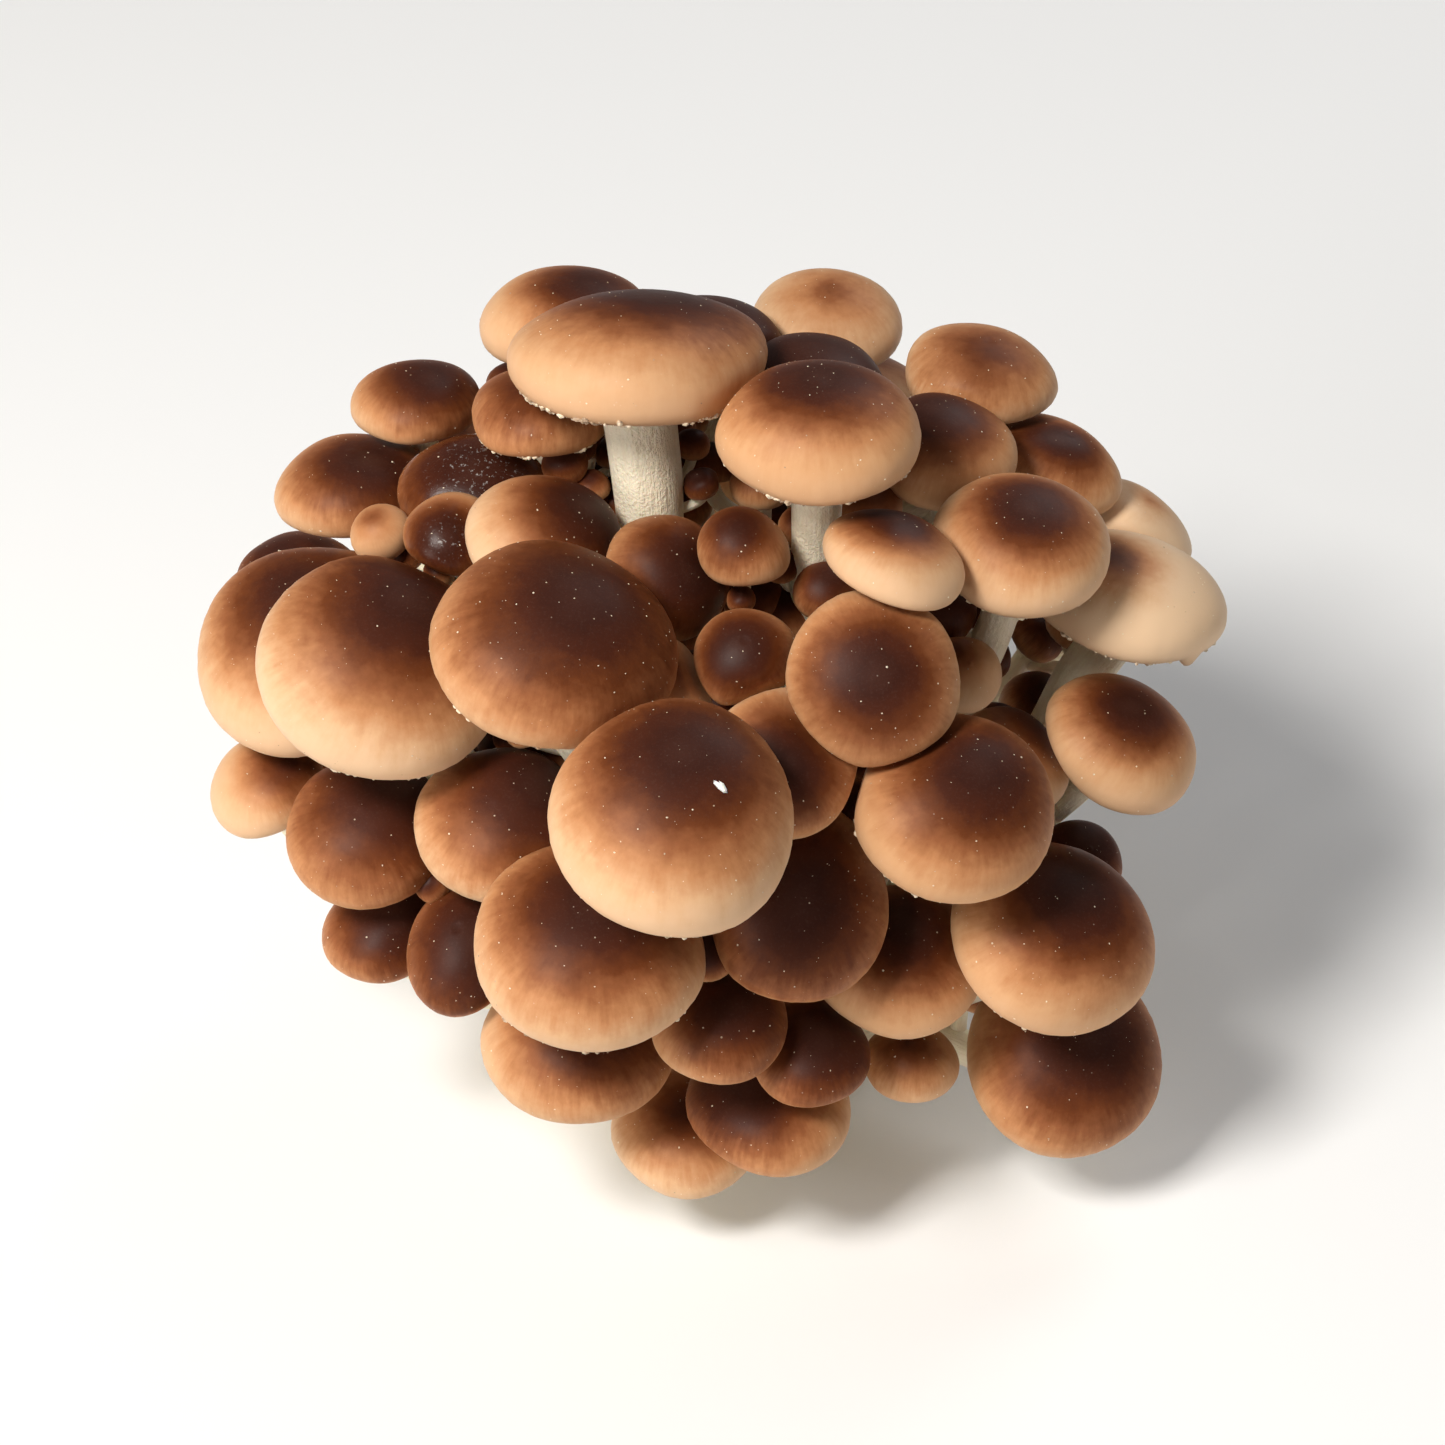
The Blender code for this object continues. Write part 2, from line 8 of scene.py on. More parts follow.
import bmesh
import bpy
import numpy as np
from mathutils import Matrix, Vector


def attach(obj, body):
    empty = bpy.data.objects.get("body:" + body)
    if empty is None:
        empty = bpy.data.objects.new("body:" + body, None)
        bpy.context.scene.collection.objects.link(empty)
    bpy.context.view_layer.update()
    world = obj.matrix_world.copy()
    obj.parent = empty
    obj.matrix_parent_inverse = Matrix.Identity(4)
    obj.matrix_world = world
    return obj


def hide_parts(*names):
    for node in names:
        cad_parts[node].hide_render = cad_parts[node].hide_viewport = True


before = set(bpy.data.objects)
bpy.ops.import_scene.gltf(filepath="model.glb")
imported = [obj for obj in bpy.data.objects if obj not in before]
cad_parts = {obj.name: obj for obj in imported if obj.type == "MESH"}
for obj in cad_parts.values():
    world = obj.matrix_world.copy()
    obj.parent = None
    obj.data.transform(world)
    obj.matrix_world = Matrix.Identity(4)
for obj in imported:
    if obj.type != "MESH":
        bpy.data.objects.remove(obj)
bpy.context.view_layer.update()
MM = 0.001

# The camera stands where the photograph was taken: EYE mm from the heart of the clump, TIP degrees above
# level, square to the clump's face. Every cap below is set out on the plane that this view looks at.
TIP = 36
EYE = 900
HEART = np.array([0.0, 4.0, 69.0])
FIELD = 260.1                         # width of the picture at the heart

tip = math.radians(TIP)
ACROSS = np.array([1.0, 0.0, 0.0])
UP = np.array([0.0, math.sin(tip), math.cos(tip)])
OUT = np.array([0.0, -math.cos(tip), math.sin(tip)])
VIEWER = HEART + EYE * OUT


def placed(name, data):
    """A new object in the scene."""
    thing = bpy.data.objects.new(name, data)
    bpy.context.scene.collection.objects.link(thing)
    return thing


camera_data = bpy.data.cameras.new("camera")
camera_data.sensor_width = 36.0
camera_data.lens = camera_data.sensor_width * EYE / FIELD
camera = placed("camera", camera_data)
camera.location = Vector(VIEWER) * MM
camera.rotation_euler = (math.radians(90 - TIP), 0, 0)
bpy.context.scene.camera = camera

# Where the mushrooms grow. Some sixty caps jostle over one butt; each shows at a place across and up the
# view, stands out of the swell of the clump by so much, and leans its own way. Caps that meet give way.
BULGE, SPREAD, RISE = 58, 104, 98     # how far the front swells towards the viewer, and its half sizes
GAP = 0.34                            # air left between two caps that grew against each other
SOFT = 1.1                            # how gently a cap flattens against its neighbour
OVERLAP = 1.6                         # how deep two caps are let into each other before they flatten
DROP = 0.24                           # depth of the rolled margin, as a share of the cap's radius
VEIL_LOW = 1.22                       # how low a veil meets its stem, as a share of that depth
CAP_ROUNDS = 150
EAGER = 0.35                          # how much of an overlap two caps clear in one round
SIDESTEP = 0.06                       # how freely a cap moves off its own line of sight
HOMING_ACROSS, HOMING_ALONG = 0.10, 0.01       # how strongly it is drawn home, off that line and along it

# name, across, up, radius, height/radius, lean across, lean up, how far it stands out of the swell, kind,
# how dark its crown is, how far out the dark reaches, how pale its margin is, how wet it shines, where its
# crown shows, across and up from there, then for a pressed cap its width/length and the angle of its long
# side
CAPS = [
    ("top_1", -28, 72.5, 15.5, 0.55, -0.05, 0.88, -6, "veiled", 0.97, 0.95, 0.3, 0, 4, 6.5),
    ("top_2", -15, 65, 23, 0.50, 0.0, 0.925, 2, "open", 1, 1.06, 0.25, 0, 3.5, 12),
    ("top_3", -2.5, 69, 13.5, 0.50, 0.1, 0.9, -14, "veiled", 1, 2.5, 0, 0, 0, 5),
    ("top_4", 18.5, 71.5, 14, 0.60, 0.0, 0.8, -22, "veiled", 0.5, 1.05, 0.8, 0, 1.5, 6.5),
    ("top_5", 16.5, 61, 13.5, 0.55, 0.1, 0.85, -8, "veiled", 1, 2.5, 0, 0, 0, 5),
    ("top_6", 46.5, 62, 14, 0.55, 0.18, 0.8, -10, "veiled", 0.66, 1.2, 0.8, 0, 1, 5),
    ("top_7", 17, 52, 18, 0.62, 0.0, 0.8, 8, "open", 1, 0.98, 0.1, 0, 0.5, 10.3),
    ("top_8", -32.5, 55.5, 13, 0.60, 0.0, 0.86, -6, "veiled", 0.8, 1.4, 0.2, 0, -0.5, 5),
    ("right_1", 40, 48.5, 13.5, 0.60, 0.2, 0.68, -4, "veiled", 1, 1.15, 0.2, 0, -2, 8),
    ("right_2", 59.5, 47, 14, 0.50, 0.4, 0.72, -10, "veiled", 1, 0.95, 0.6, 0, 1, 4, 0.72, -40),
    ("right_3", 75, 35.5, 11, 0.50, 0.6, 0.72, -16, "veiled", 0.35, 0.7, 1, 0, 2, 4.5),
    ("right_4", 53.5, 32, 16.5, 0.60, 0.15, 0.72, 6, "open", 1, 0.86, 0.5, 0, 2, 7),
    ("right_5", 73, 22.5, 18, 0.55, 0.25, 0.84, -4, "open", 0.62, 0.6, 1, 0, -3, 7.5),
    ("right_6", 43, 8.5, 7.5, 0.70, 0.3, 0.4, -10, "veiled", 0.65, 1.1, 0.5, 0, -1, 4.5),
    ("right_7", 52, -7, 11, 0.60, 0.35, 0.5, -10, "veiled", 0.85, 1.2, 0.3, 0, 4, 7.5),
    ("right_8", 71.5, -4, 15, 0.62, 0.45, 0.62, -4, "veiled", 1, 0.86, 0.3, 0, 2, 7),
    ("right_9", 64.5, -25, 8, 0.65, 0.3, 0.5, -12, "veiled", 1, 1.6, 0.2, 0, 1.5, 4),
    ("right_10", 59, -39, 19.5, 0.66, 0.3, 0.38, 4, "open", 1, 1.05, 0.2, 0, 4.5, 8, 0.9, -30),
    ("right_11", 61.5, -60, 19, 0.66, 0.12, 0.42, -6, "veiled", 1, 1.15, 0.2, 0, 4.5, 3, 0.95, 80),
    ("mid_1", 31, 29, 13, 0.56, 0.28, 0.8, 0, "veiled", 1, 0.90, 0.5, 0, 0.5, 7.6),
    ("mid_2", -10.5, 26, 12, 0.85, 0.4, 0.3, -12, "veiled", 1, 1.3, 0.2, 0, 4.5, 1.5),
    ("mid_3", 3.5, 30.5, 8.5, 0.95, 0.0, 0.78, -8, "veiled", 0.9, 1.1, 0.5, 0, -1, 5),
    ("mid_4", 4, 11, 10, 0.80, 0.0, 0.45, -3, "veiled", 1.05, 1.05, 0.3, 0, -0.8, 2.5),
    ("mid_5", 27, 7.5, 16.5, 0.62, 0.06, 0.12, 7, "veiled", 1, 1.02, 0.3, 0, 0.5, 1.5),
    ("left_1", -55, 57, 12, 0.60, -0.05, 0.86, -18, "veiled", 1, 1.15, 0.4, 0, 2.5, 5.5),
    ("left_2", -66, 42, 14.5, 0.60, -0.05, 0.84, -10, "veiled", 1.05, 1.1, 0.4, 0, 2.5, 5),
    ("left_3", -45, 41, 14, 0.62, -0.05, 0.75, -8, "veiled", 1.1, 1.35, 0.3, 1, 0.5, 4.5),
    ("left_4", -48.5, 33.5, 9, 0.75, -0.05, 0.6, -2, "veiled", 1.1, 1.1, 0.3, 0.7, -1.5, 0),
    ("left_5", -32, 32.5, 14.5, 0.62, 0.25, 0.65, -10, "veiled", 1, 1.1, 0.6, 0, 7.5, 6),
    ("left_6", -76, 25.5, 11.5, 0.60, -0.1, 0.75, -24, "veiled", 0.95, 1.3, 0.3, 0, -3, 5.5),
    ("left_7", -74, 13, 21, 0.60, -0.15, 0.5, -14, "open", 1, 0.95, 0.6, 0, -2, 11),
    ("left_8", -61.5, 10, 22, 0.62, 0.22, 0.42, 4, "open", 1, 1.08, 0.8, 0, 5, 12),
    ("left_9", -30.5, 13.5, 22, 0.62, 0.16, 0.6, 10, "open", 1, 1.22, 0.4, 0, 4, 8.5),
    ("front_1", 41.5, -15.5, 18.5, 0.64, 0.2, 0.42, 11, "open", 1, 1.05, 0.1, 0, 5, 6.5),
    ("front_2", 11.5, -6.5, 14.5, 0.62, 0.05, 0.25, 2.5, "veiled", 1, 0.98, 0.5, 0, 0.6, -0.6),
    ("front_3", -9, 6, 10, 0.65, 0.1, 0.3, -3, "veiled", 0.5, 1, 0.4, 0, 1, 3),
    ("front_4", -9, -17.5, 22.5, 0.70, 0.05, 0.5, 20, "open", 1, 1, 0.6, 0, 2, 12),
    ("front_5", 13.5, -32.5, 19, 0.62, 0.1, 0.25, 0, "veiled", 1, 1.3, 0.3, 0, 0.4, 0, 0.86, 82),
    ("front_6", -24, -40.5, 21, 0.64, 0.05, 0.6, 4, "open", 1, 1.05, 0.6, 0, 2, 8.5),
    ("low_1", 31.5, -43, 15.5, 0.62, 0.0, 0.55, -8, "veiled", 1, 1, 0.1, 0, 1.5, 6.5),
    ("low_2", -40, -18.5, 15.5, 0.62, -0.05, 0.5, -8, "veiled", 1.05, 1.5, 1, 0, 8, 8),
    ("low_3", -64, -19.5, 15, 0.62, -0.05, 0.5, -4, "veiled", 1, 1.8, 0.2, 0, 6, 9),
    ("low_4", -82, -11.5, 10.5, 0.65, -0.2, 0.6, -8, "veiled", 0.8, 1, 0.5, 0, 4, 4),
    ("low_5", -61, -37.5, 11, 0.65, -0.2, 0.6, -10, "veiled", 1, 1.5, 0.2, 0, 2, 3),
    ("low_6", -46.5, -41, 13, 0.65, -0.1, 0.5, -8, "veiled", 1.05, 1.7, 0.1, 0, 3, 2, 0.8, 80),
    ("low_7", -25.5, -57, 17.5, 0.60, -0.05, 0.65, -6, "veiled", 0.95, 1.1, 0.5, 0, 3.5, 3.5),
    ("low_8", -0.5, -54, 12.5, 0.65, 0.0, 0.6, 1, "veiled", 0.95, 1.3, 0.3, 0, 3, 3),
    ("low_9", 16, -59.5, 11, 0.65, 0.0, 0.6, -1, "veiled", 1, 1.5, 0.2, 0, 2.5, 2.5),
    ("low_10", 8.5, -69, 15, 0.60, 0.05, 0.7, -6, "veiled", 1, 1.2, 0.4, 0, -4.5, 4),
    ("low_11", -6.5, -73.5, 13.5, 0.60, -0.1, 0.65, -9, "veiled", 0.78, 1.1, 0.8, 0, 0.5, 4),
    ("low_12", 34, -61.5, 8.5, 0.75, 0.05, 0.7, -10, "veiled", 0.68, 1.2, 0.5, 0, -1, 3.5),
]

# the side turned away: name, x, y, z, radius, height/radius, lean x, lean y, kind, then the crown's
# darkness and reach and the margin's paleness
BACK_CAPS = [
    ("back_1", -52, 49, 93, 17, 0.60, -0.35, 0.35, "veiled", 0.95, 1.1, 0.5),
    ("back_2", -18, 66, 106, 20, 0.60, -0.1, 0.4, "open", 1.0, 1.0, 0.7),
    ("back_3", 22, 64, 98, 18, 0.60, 0.1, 0.45, "veiled", 0.70, 1.1, 0.7),
    ("back_4", 57, 49, 88, 17, 0.60, 0.4, 0.35, "veiled", 0.95, 1.1, 0.5),
    ("back_5", -36, 65, 67, 15, 0.65, -0.3, 0.6, "veiled", 1.0, 1.4, 0.3),
    ("back_6", 8, 73, 71, 16, 0.65, 0.0, 0.65, "veiled", 1.0, 1.1, 0.5),
    ("back_7", 44, 63, 63, 14, 0.65, 0.35, 0.6, "veiled", 1.0, 1.4, 0.3),
    ("back_8", -71, 34, 64, 14, 0.65, -0.6, 0.3, "veiled", 0.90, 1.1, 0.6),
]

# caps that grew hard against each other: how deep they are let into each other, and how much of it the
# first one gives way
HARD_PRESSED = {
    ("front_2", "front_4"): (7.5, 0.8),
    ("front_2", "mid_5"): (8.5, 0.5),
    ("front_2", "mid_4"): (5.5, 0.4),
    ("front_2", "front_5"): (8.5, 0.8),
    ("front_2", "front_1"): (2.5, 0.5),
    ("mid_5", "front_1"): (8.0, 0.5),
    ("mid_5", "mid_4"): (4.0, 0.4),
    ("mid_5", "mid_1"): (5.0, 0.7),
    ("mid_5", "right_6"): (6.0, 0.1),
    ("front_5", "front_4"): (8.5, 0.8),
    ("front_5", "front_1"): (5.0, 0.5),
    ("front_3", "left_9"): (9.0, 0.9),
    ("front_3", "front_4"): (9.0, 0.9),
    ("front_3", "mid_4"): (6.0, 0.8),
    ("front_3", "mid_2"): (6.0, 0.5),
    ("front_3", "front_2"): (6.0, 0.8),
}

# half outline of a cap for finding how close two come: distance from the axis, share of the height
# above, share of the roll below
HULL = np.array([(0, 1, 0), (0.2, 0.98, 0), (0.4, 0.917, 0), (0.6, 0.8, 0), (0.75, 0.661, 0),
                 (0.87, 0.493, 0), (0.96, 0.28, 0), (1, 0, 0), (0.985, 0, -0.55),
                 (0.93, 0, -0.9), (0.865, 0, -1), (0.27, 0, -VEIL_LOW)])


def unit(rows):
    """The rows, each brought to length 1."""
    return rows / np.linalg.norm(rows, axis=-1, keepdims=True)


def on_view(across, up, stands):
    """The point that shows at across, up on the view plane and stands out by so much."""
    out = BULGE * (1 - (across / SPREAD) ** 2 - (up / RISE) ** 2) + stands
    near = 1 - out / EYE
    return HEART + near * (across * ACROSS + up * UP) + out * OUT, near


def lean_on_view(across, up):
    """The direction that leans this much across and up the view and points towards the viewer."""
    return across * ACROSS + up * UP + math.sqrt(1 - across * across - up * up) * OUT


names, kinds, centre, radius, height, axis, width, turn, slide, skins, crowns = ([] for _ in range(11))
for name, across, up, r, h, lean_a, lean_u, stands, kind, dark, spread, pale, wet, x, y, *pressed in CAPS:
    point, near = on_view(across, up, stands)
    names.append(name)
    kinds.append(kind)
    centre.append(point)
    radius.append(r * near)
    height.append(r * near * h)
    axis.append(lean_on_view(lean_a, lean_u))
    width.append(pressed[0] if pressed else 1.0)
    turn.append(math.radians(pressed[1]) if pressed else 0.0)
    slide.append(VIEWER - point)
    skins.append((dark, spread, pale, wet))
    crowns.append((across + x, up + y))
for name, x, y, z, r, h, lean_x, lean_y, kind, dark, spread, pale in BACK_CAPS:
    names.append(name)
    kinds.append(kind)
    centre.append(np.array([x, y, z], float))
    radius.append(r)
    height.append(r * h)
    axis.append(np.array([lean_x, lean_y, math.sqrt(1 - lean_x ** 2 - lean_y ** 2)]))
    width.append(1.0)
    turn.append(0.0)
    slide.append(np.array([x, y, z - 30.0]))
    skins.append((dark, spread, pale, 0))
    crowns.append(None)
centre, radius, height, axis = np.array(centre), np.array(radius), np.array(height), np.array(axis)
width, turn, slide = np.array(width), np.array(turn), unit(np.array(slide))
count = len(names)
roll = DROP * radius
side = np.cos(turn)[:, None] * ACROSS + np.sin(turn)[:, None] * UP
side = unit(side - (side * axis).sum(1)[:, None] * axis)
own = np.stack([side, np.cross(axis, side), axis], 1)         # the rows are each cap's own x, y, z


def farthest(i, way):
    """The point of cap i, from its centre, that lies farthest along a direction."""
    local = np.einsum("mij,mj->mi", own[i], way)
    local[:, 1] *= width[i]
    flat = np.maximum(np.hypot(local[:, 0], local[:, 1]), 1e-9)
    rho = HULL[:, 0] * radius[i][:, None]
    z = HULL[:, 1] * height[i][:, None] + HULL[:, 2] * roll[i][:, None]
    k = np.argmax(rho * flat[:, None] + z * local[:, 2:3], axis=1)
    row = np.arange(len(i))
    point = np.c_[local[:, :2] / flat[:, None] * rho[row, k][:, None], z[row, k]]
    point[:, 1] *= width[i]
    return np.einsum("mij,mi->mj", own[i], point)


def between(at, i, j, steps):
    """The widest gap between each pair of caps, and the direction it is measured in."""
    apart = at[j] - at[i]
    way = unit(apart)
    best, best_way = np.full(len(i), -1e9), way.copy()
    for k in range(steps):
        reach = apart + farthest(j, -way) - farthest(i, way)
        gap = (reach * way).sum(1)
        better = gap > best
        best = np.where(better, gap, best)
        best_way[better] = way[better]
        swing = (reach - gap[:, None] * way) / (radius[i] + radius[j])[:, None]
        way = unit(best_way + 0.5 * 0.92 ** k * swing)
    return best, best_way


def neighbours(at, slack):
    """The pairs of caps that may come within this much of each other."""
    i, j = np.triu_indices(count, 1)
    near = np.linalg.norm(at[i] - at[j], axis=1) < radius[i] + radius[j] + slack
    return i[near], j[near]


let_in, yields = np.full((count, count), OVERLAP), np.full((count, count), 0.5)
for (one, other), (deep, share) in HARD_PRESSED.items():
    one, other = names.index(one), names.index(other)
    let_in[one, other] = let_in[other, one] = deep
    yields[one, other], yields[other, one] = share, 1 - share
wanted = centre.copy()
for _ in range(CAP_ROUNDS):
    i, j = neighbours(centre, 0)
    gap, way = between(centre, i, j, 20)
    push = np.clip(-let_in[i, j] - gap, 0, None)
    moves = []
    for k in (i, j):
        along = (way * slide[k]).sum(1)[:, None] * slide[k]
        moves.append(along + SIDESTEP * (way - along))
    give = sum((m * way).sum(1) for m in moves) + 0.02
    push = (EAGER * push / give)[:, None]
    np.add.at(centre, i, -push * moves[0])
    np.add.at(centre, j, push * moves[1])
    home = wanted - centre
    along = (home * slide).sum(1)[:, None] * slide
    centre += HOMING_ACROSS * (home - along) + HOMING_ALONG * along

walls = [[] for _ in range(count)]    # the planes each cap is flattened against
i, j = neighbours(centre, 4)
gap, way = between(centre, i, j, 60)
for a, b, g, w in zip(i, j, gap, way):
    if g < 3:
        middle = centre[a] + farthest(np.array([a]), w[None])[0] + w * g * yields[a, b]
        walls[a].append((middle, w))
        walls[b].append((middle, -w))


def press(points, k):
    """Flatten the points of cap k softly against each of its neighbours."""
    for soft in (SOFT, 0.3 * SOFT, 0.1 * SOFT):
        for middle, way in walls[k]:
            beyond = (points - middle) @ way + GAP / 2
            kept = -soft * np.logaddexp(0, -beyond / soft)
            points = points + (kept - beyond)[:, None] * way
    return points


# The caps. Each is a fleshy dome with its margin rolled under; the young ones are still closed below by a
# cream veil. The skin is satin: chocolate at the crown, russet, then tan, with a pale streaked margin.
CROWN_RINGS, ROLL_RINGS, LIP_RINGS, UNDER_RINGS = 26, 7, 4, 7
HUB = 0.27                            # where the underside meets the stem, as a share of the radius
MARGIN = 0.865                        # the lowest line of the margin, likewise
GILL_LINE = 0.795                     # where the gills begin behind the margin
GILL_LEVEL = 0.55                     # how low they begin, as a share of the depth of the margin
GILL_ARCH = 0.25                      # how much higher they are half way in
LUMP = 0.11                           # how uneven the dome is
LUMP_PITCH = 2.2                      # how close its lumps lie, over the radius
LUMP_LIFT = 1.6                       # how much more they lift the crown than they push the sides
LOBES = (0.022, 0.016)                # how far the outline swells in two and in three lobes
WAVES = (0.035, 0.02)                 # how far the margin waves up and down, twice and four times around
FURROW = 0.0045                       # depth of the furrows at the margin, as a share of the radius


def smooth(value, low, high):
    """0 below low, 1 above high and smooth between."""
    t = np.clip((value - low) / (high - low), 0, 1)
    return t * t * (3 - 2 * t)


def half_outline(kind):
    """Rows of (distance from the axis, share of the height, share of the roll), crown to hub."""
    a = np.radians(np.linspace(0, 90, CROWN_RINGS + 1)[1:])
    rows = [(math.sin(t), math.cos(t), 0.0) for t in a]
    for t in np.radians(np.linspace(0, 90, ROLL_RINGS + 1)[1:]):
        rows.append((MARGIN + (1 - MARGIN) * math.cos(t), 0.0, -math.sin(t)))
    if kind == "open":
        for t in np.radians(np.linspace(90, 180, LIP_RINGS + 1)[1:]):
            low = -GILL_LEVEL - (1 - GILL_LEVEL) * math.sin(t)
            rows.append((MARGIN + (MARGIN - GILL_LINE) * math.cos(t), 0.0, low))
        for t in np.linspace(0, 1, UNDER_RINGS + 1)[1:]:
            low = -GILL_LEVEL + GILL_ARCH * math.sin(math.pi * t)
            rows.append((GILL_LINE + (HUB - GILL_LINE) * t, 0.0, low))
    else:
        for t in np.linspace(0, 1, LIP_RINGS + UNDER_RINGS + 1)[1:]:
            tented = 0.16 * math.sin(math.pi * t) - 0.05 * math.sin(2 * math.pi * t)
            rows.append((MARGIN + (HUB - MARGIN) * t, 0.0, -1 - (VEIL_LOW - 1) * t + tented))
    return rows


def quads(rings, sides):
    """Faces of a turned net of rings from the top down, with a point closing it at each end."""
    net = np.arange(rings * sides).reshape(rings, sides) + 1
    after = np.roll(net, -1, axis=1)
    around = np.stack([net[:-1], net[1:], after[1:], after[:-1]], -1).reshape(-1, 4).tolist()
    top = [(0, a, b) for a, b in zip(net[0], after[0])]
    last = rings * sides + 1
    foot = [(last, b, a) for a, b in zip(net[-1], after[-1])]
    return [tuple(map(int, f)) for f in top] + around + [tuple(map(int, f)) for f in foot]


def new_piece(name, points, faces, finishes, values=None, which=None):
    """A smooth mesh object from points in millimetres, with its finishes and its named values."""
    mesh = bpy.data.meshes.new(name)
    mesh.from_pydata((points * MM).tolist(), [], faces)
    for finish in finishes:
        mesh.materials.append(finish)
    for label, rows in (values or {}).items():
        form, key = ("FLOAT", "value") if np.ndim(rows) == 1 else ("FLOAT_VECTOR", "vector")
        mesh.attributes.new(label, form, "POINT").data.foreach_set(key, np.asarray(rows, "f").ravel())
    if which is not None:
        mesh.polygons.foreach_set("material_index", which)
    mesh.polygons.foreach_set("use_smooth", [True] * len(mesh.polygons))
    mesh.update()
    return placed(name, mesh)


class Wire:
    """A value that varies from place to place, held as the socket that gives it."""

    def __init__(self, tree, socket):
        self.tree = tree
        self.socket = socket

    def maths(self, operation, first, second):
        return self.tree.node("ShaderNodeMath", {"operation": operation}, {0: first, 1: second})

    def __add__(self, other):
        return self.maths("ADD", self, other)

    def __sub__(self, other):
        return self.maths("SUBTRACT", self, other)

    def __rsub__(self, other):
        return self.maths("SUBTRACT", other, self)

    def __mul__(self, other):
        return self.maths("MULTIPLY", self, other)

    def __truediv__(self, other):
        return self.maths("DIVIDE", self, other)

    def __lt__(self, other):
        return self.maths("LESS_THAN", self, other)

    __radd__ = __add__
    __rmul__ = __mul__

    def step(self, low, high):
        """0 below low, 1 above high and smooth between."""
        return self.tree.node("ShaderNodeMapRange", {"interpolation_type": "SMOOTHSTEP"},
                              {0: self, 1: low, 2: high, 3: 0.0, 4: 1.0})


class Tree:
    """A node tree as it is built: node() adds any node, sets it up, plugs it in and gives its output."""

    def __init__(self, tree):
        self.tree = tree

    def node(self, kind, settings=None, inputs=None, output=0):
        made = self.tree.nodes.new(kind)
        for name, value in (settings or {}).items():
            if name == "stops":
                while len(made.color_ramp.elements) < len(value):
                    made.color_ramp.elements.new(0.5)
                for stop, (place, colour) in zip(made.color_ramp.elements, value):
                    stop.position = place
                    stop.color = (*colour, 1)
            else:
                setattr(made, name, value)
        for place, value in (inputs or {}).items():
            self.plug(made.inputs[place], value)
        return Wire(self, made.outputs[output])

    def plug(self, socket, value):
        if isinstance(value, Wire):
            self.tree.links.new(value.socket, socket)
        elif socket.type == "RGBA" and len(value) == 3:
            socket.default_value = (*value, 1)
        else:
            socket.default_value = value

    def own_value(self, name, output=2):
        return self.node("ShaderNodeAttribute", {"attribute_name": name}, output=output)

    def noise(self, place, size, detail=2.0, rough=0.5):
        """Soft noise with features of about this size, in the units of the place."""
        return self.node("ShaderNodeTexNoise", None,
                         {"Vector": place, "Scale": 1 / size, "Detail": detail, "Roughness": rough})

    def stretched(self, place, by):
        return self.node("ShaderNodeVectorMath", {"operation": "MULTIPLY"}, {0: place, 1: by})

    def blend(self, share, first, second):
        return self.node("ShaderNodeMix", {"data_type": "RGBA"}, {0: share, 6: first, 7: second}, 2)

    def dots(self, place, pitch, size, kept):
        """1 inside scattered dots of this size, set about a pitch apart, of which a share is kept."""
        near = self.node("ShaderNodeTexVoronoi", None, {"Vector": place, "Scale": 1 / pitch})
        cell = self.node("ShaderNodeTexVoronoi", None, {"Vector": place, "Scale": 1 / pitch}, 1)
        draw = self.node("ShaderNodeSeparateColor", None, {0: cell})
        return (1 - near.step(0.4 * size / pitch, size / pitch)) * (draw < kept)


def new_finish(name, gloss=0.3, soft=0.0):
    """A material named for what it covers, and the tree it is mixed in."""
    material = bpy.data.materials.new(name)
    material.use_nodes = True
    shader = material.node_tree.nodes["Principled BSDF"]
    shader.inputs["Specular IOR Level"].default_value = gloss
    shader.inputs["Subsurface Weight"].default_value = soft
    shader.inputs["Subsurface Radius"].default_value = (1.0, 0.45, 0.2)
    shader.inputs["Subsurface Scale"].default_value = 1.2 * MM
    return material, shader, Tree(material.node_tree)


def coat(shader, tree, colour, rough, relief=None, strength=0.0, depth=0.0):
    """Plug a finish in: its colour, how rough it is, and a relief of so many millimetres where it has one."""
    tree.plug(shader.inputs["Base Color"], colour)
    tree.plug(shader.inputs["Roughness"], rough)
    if relief is not None:
        bump = {"Strength": strength, "Distance": depth * MM, "Height": relief}
        tree.plug(shader.inputs["Normal"], tree.node("ShaderNodeBump", None, bump))


SKIN_STOPS = [                        # from the crown out: how far, colour
    (0.00, (0.050, 0.016, 0.010)),
    (0.13, (0.042, 0.011, 0.006)),
    (0.27, (0.064, 0.015, 0.006)),
    (0.39, (0.135, 0.036, 0.010)),
    (0.50, (0.270, 0.094, 0.035)),
    (0.62, (0.480, 0.214, 0.090)),
    (0.76, (0.590, 0.312, 0.148)),
    (1.00, (0.635, 0.364, 0.196)),
]
PALE_MARGIN = (0.760, 0.530, 0.335)
# the colour that the painted shade along the edge of each margin darkens to
RIM_PAINTED_SHADE = (0.330, 0.195, 0.115)
# the pale colour of the painted highlight on wet crowns
PAINTED_WET_GLINT = (0.600, 0.580, 0.560)
# the grey of the dusty bloom on the crowns, which also serves as a painted sheen
DUST_AND_SHEEN = (0.230, 0.160, 0.125)
GRAIN = (0.700, 0.560, 0.440)
VEIL_SHADE = (0.620, 0.500, 0.340)
VEIL_CREAM = (0.800, 0.710, 0.550)
VEIL_BLOT = (0.520, 0.370, 0.220)

